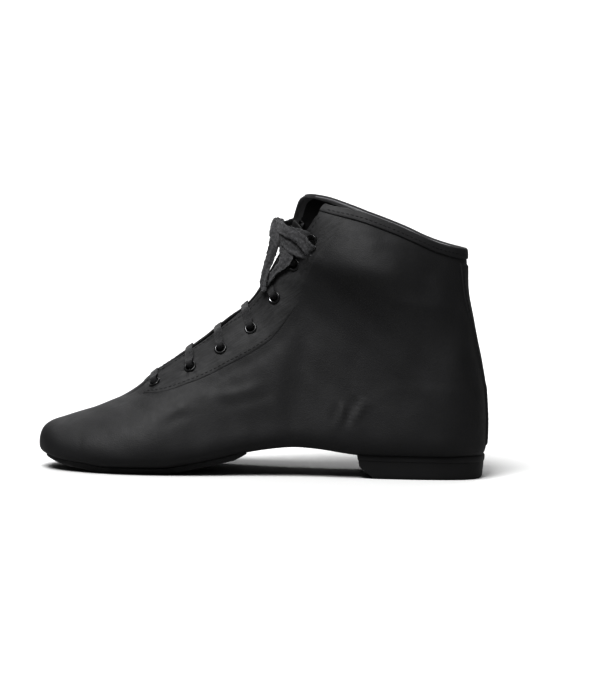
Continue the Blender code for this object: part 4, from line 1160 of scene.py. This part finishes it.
# The other end hangs free: points in the boot's frame
FRONT_END = (
    (6.6, -1.5, 137.6), (5.6, -3.2, 139.6), (3.9, -6.6, 136.2), (3.5, -9.8, 130.3), (2, -10.5, 124.6),
    (0.6, -11.1, 119.6), (-0.7, -11.4, 115.8), (-1.8, -12.7, 110.5), (-2.3, -14.5, 105.3),
    (-1.8, -16.3, 101.9),
)
FRONT_END_WIDTHS = (5.5, 6.6, 7.8, 6.4, 5.5, 5.2, 4.8, 4.4, 4, 2.4)
FRONT_END_THICK = 1.7
FRONT_END_FACES = (
    (-0.5, -0.6, -0.6), (-0.6, -0.75, 0.3), (-0.4, -0.9, 0.1), (-0.3, -0.95, 0.1), (-0.3, -0.95, 0.1),
    (-0.3, -0.94, 0.15), (-0.35, -0.92, 0.18), (-0.42, -0.88, 0.22), (-0.5, -0.8, 0.3), (-0.55, -0.77, 0.33),
)


def place_of(n, across, height):
    point, normal = ridge_frame(n, across)
    return point + height * normal, normal


def add_cord(name, rows, widths, thick=BOW_THICK):
    """A free flat lace from rows of centre and face direction, with its real length."""
    path, faces, widths = resample(*zip(*rows), [(w,) for w in widths])
    made = ribbon("bow_" + name, path, faces, widths[:, 0], thick, BOW_FOLD)
    dress(made, "lace_cotton", "lace_" + name)
    tuple(world(path[0])[0])
    [tuple(p) for p in world(path)]
    return made


def evenly(count, shares, values):
    return np.interp(np.linspace(0, 1, count), shares, values)


def build_bow():
    for name, route in TIES.items():
        path, faces = resample(*zip(*(place_of(*r) for r in route)))
        made = ribbon("bow_" + name, path, faces, evenly(len(path), TIE_SHARES, TIE_WIDE))
        dress(made, "lace_cotton", "lace_" + name)
    for name, (out, back) in LOOPS.items():
        rows = [place_of(*r) for r in out]
        tip, normal = rows[-1]
        ahead = unit(tip - rows[-2][0])
        depth = (out[-1][2] - back[0][2]) / 2
        rows += [(tip + depth * (0.8 * ahead - 0.3 * normal), unit(ahead + normal)),
                 (tip + depth * (1.1 * ahead - normal), ahead),
                 (tip + depth * (0.8 * ahead - 1.7 * normal), unit(ahead - normal))]
        rows += [(p, -n) for p, n in (place_of(*r) for r in back)]
        add_cord(name, rows, evenly(len(rows), LOOP_SHARES, LOOP_WIDE))
    add_cord("end_inner", [place_of(*r) for r in SIDE_END], SIDE_END_WIDTHS)
    rows = list(zip(FRONT_END, unit(np.array(FRONT_END_FACES))))
    add_cord("end_outer", rows, FRONT_END_WIDTHS, FRONT_END_THICK)


def build_knot():
    """The lace wrapped once round the crossing."""
    middle, normal = place_of(*KNOT_PLACE)
    up = unit(place_of(KNOT_PLACE[0] + SECTION_STEP, *KNOT_PLACE[1:])[0] - middle)
    side = np.cross(normal, up)
    turn = np.linspace(0, 2 * math.pi * KNOT_TURNS, KNOT_POINTS)
    faces = np.cos(turn)[:, None] * side + np.sin(turn)[:, None] * normal
    centres = middle + KNOT_ROUND * faces + (turn / KNOT_PITCH - 0.5)[:, None] * up
    made = ribbon("bow_knot", centres, faces, np.full(len(turn), KNOT_WIDE), KNOT_THICK)
    dress(made, "lace_cotton", "lace_knot")


# Stage, in metres: floor, light and camera. A light is its name, place, aim, size and power.

CAMERA_AIM = world((18.8, 0, 73.3))[0]
CAMERA_TILT, CAMERA_ROLL = math.radians(4.5), math.radians(1.6)
CAMERA_AWAY, PICTURE_HEIGHT, SENSOR = 2, 0.3825, 36
LIGHTS = (
    ("key", (-0.8, -1.9, 3.2), (0, 0, 0.08), (1.9, 1.9), 430),
    ("top", (0.1, -0.2, 1.9), (0, -0.2, 0), (2.4, 2.4), 20),
    ("back", (0, 1.9, 2.2), (0, 2.7, 0.2), (3, 1), 150),
)
SKY_STRENGTH, VIEW_GAMMA, PAPER_TONE = 0.1, 0.68, (0.36, 0.36)
SWEEP_FRONT, SWEEP_BACK, SWEEP_ROUND, SWEEP_TOP, SWEEP_HALF = -4, 2.5, 0.8, 3, 4


def build_camera():
    level = Vector((1, 0, 0))
    up = Vector((0, math.sin(CAMERA_TILT), math.cos(CAMERA_TILT)))
    toward = Vector((0, math.cos(CAMERA_TILT), -math.sin(CAMERA_TILT)))
    right = level * math.cos(CAMERA_ROLL) + up * math.sin(CAMERA_ROLL)
    top = up * math.cos(CAMERA_ROLL) - level * math.sin(CAMERA_ROLL)
    data = bpy.data.cameras.new("camera")
    data.sensor_width = SENSOR
    data.lens = SENSOR * CAMERA_AWAY / PICTURE_HEIGHT
    data.clip_end = 20
    made = add_object("camera", data)
    turn = Matrix((right, top, -toward)).transposed().to_4x4()
    made.matrix_world = Matrix.Translation(Vector(CAMERA_AIM) - CAMERA_AWAY * toward) @ turn
    bpy.context.scene.camera = made


def add_light(name, place, aim, size, power):
    data = bpy.data.lights.new(name, "AREA")
    data.shape = "RECTANGLE"
    data.size, data.size_y = size
    data.energy = power
    made = add_object(name, data)
    made.location = place
    made.rotation_euler = (Vector(aim) - Vector(place)).to_track_quat("-Z", "Y").to_euler()


def build_stage():
    """A pale floor that sweeps up well behind the boot, soft light on the boot and a light for the sweep."""
    paper = Finish("pale_paper", PAPER_TONE, 0.9, PAPER_GLOSS)
    paper.bump(paper.noise(900, 3), 0.0001, 0.2)
    profile = [(SWEEP_FRONT, 0), (SWEEP_BACK, 0)]
    profile += [(SWEEP_BACK + SWEEP_ROUND * math.sin(a), SWEEP_ROUND - SWEEP_ROUND * math.cos(a))
                for a in np.linspace(0, math.pi / 2, 16)[1:]]
    profile += [(SWEEP_BACK + SWEEP_ROUND, SWEEP_TOP)]
    points = [(x, y, z) for y, z in profile for x in (-SWEEP_HALF, SWEEP_HALF)]
    mesh = bpy.data.meshes.new("sweep")
    mesh.from_pydata(points, [], [(2 * i, 2 * i + 1, 2 * i + 3, 2 * i + 2) for i in range(len(profile) - 1)])
    mesh.materials.append(paper.material)
    mesh.shade_smooth()
    sweep = add_object("sweep", mesh)
    for light in LIGHTS:
        add_light(*light)
    scene = bpy.context.scene
    scene.world = bpy.data.worlds.new("sky")
    scene.world.use_nodes = True
    sky = scene.world.node_tree.nodes["Background"]
    sky.inputs["Color"].default_value = (1, 1, 1, 1)
    sky.inputs["Strength"].default_value = SKY_STRENGTH
    scene.view_settings.view_transform = "Standard"
    scene.view_settings.gamma = VIEW_GAMMA


build_camera()
build_bars()
build_bow()
build_knot()
build_upper()
stay_seams = build_eyestays()
band_seam = build_collar_band()
strip_seams = build_back_strip()
build_tongue()
build_forefoot_sole()
build_insole()
build_heel()
build_eyelets()
build_stitching(stay_seams + [band_seam] + strip_seams)
build_stage()
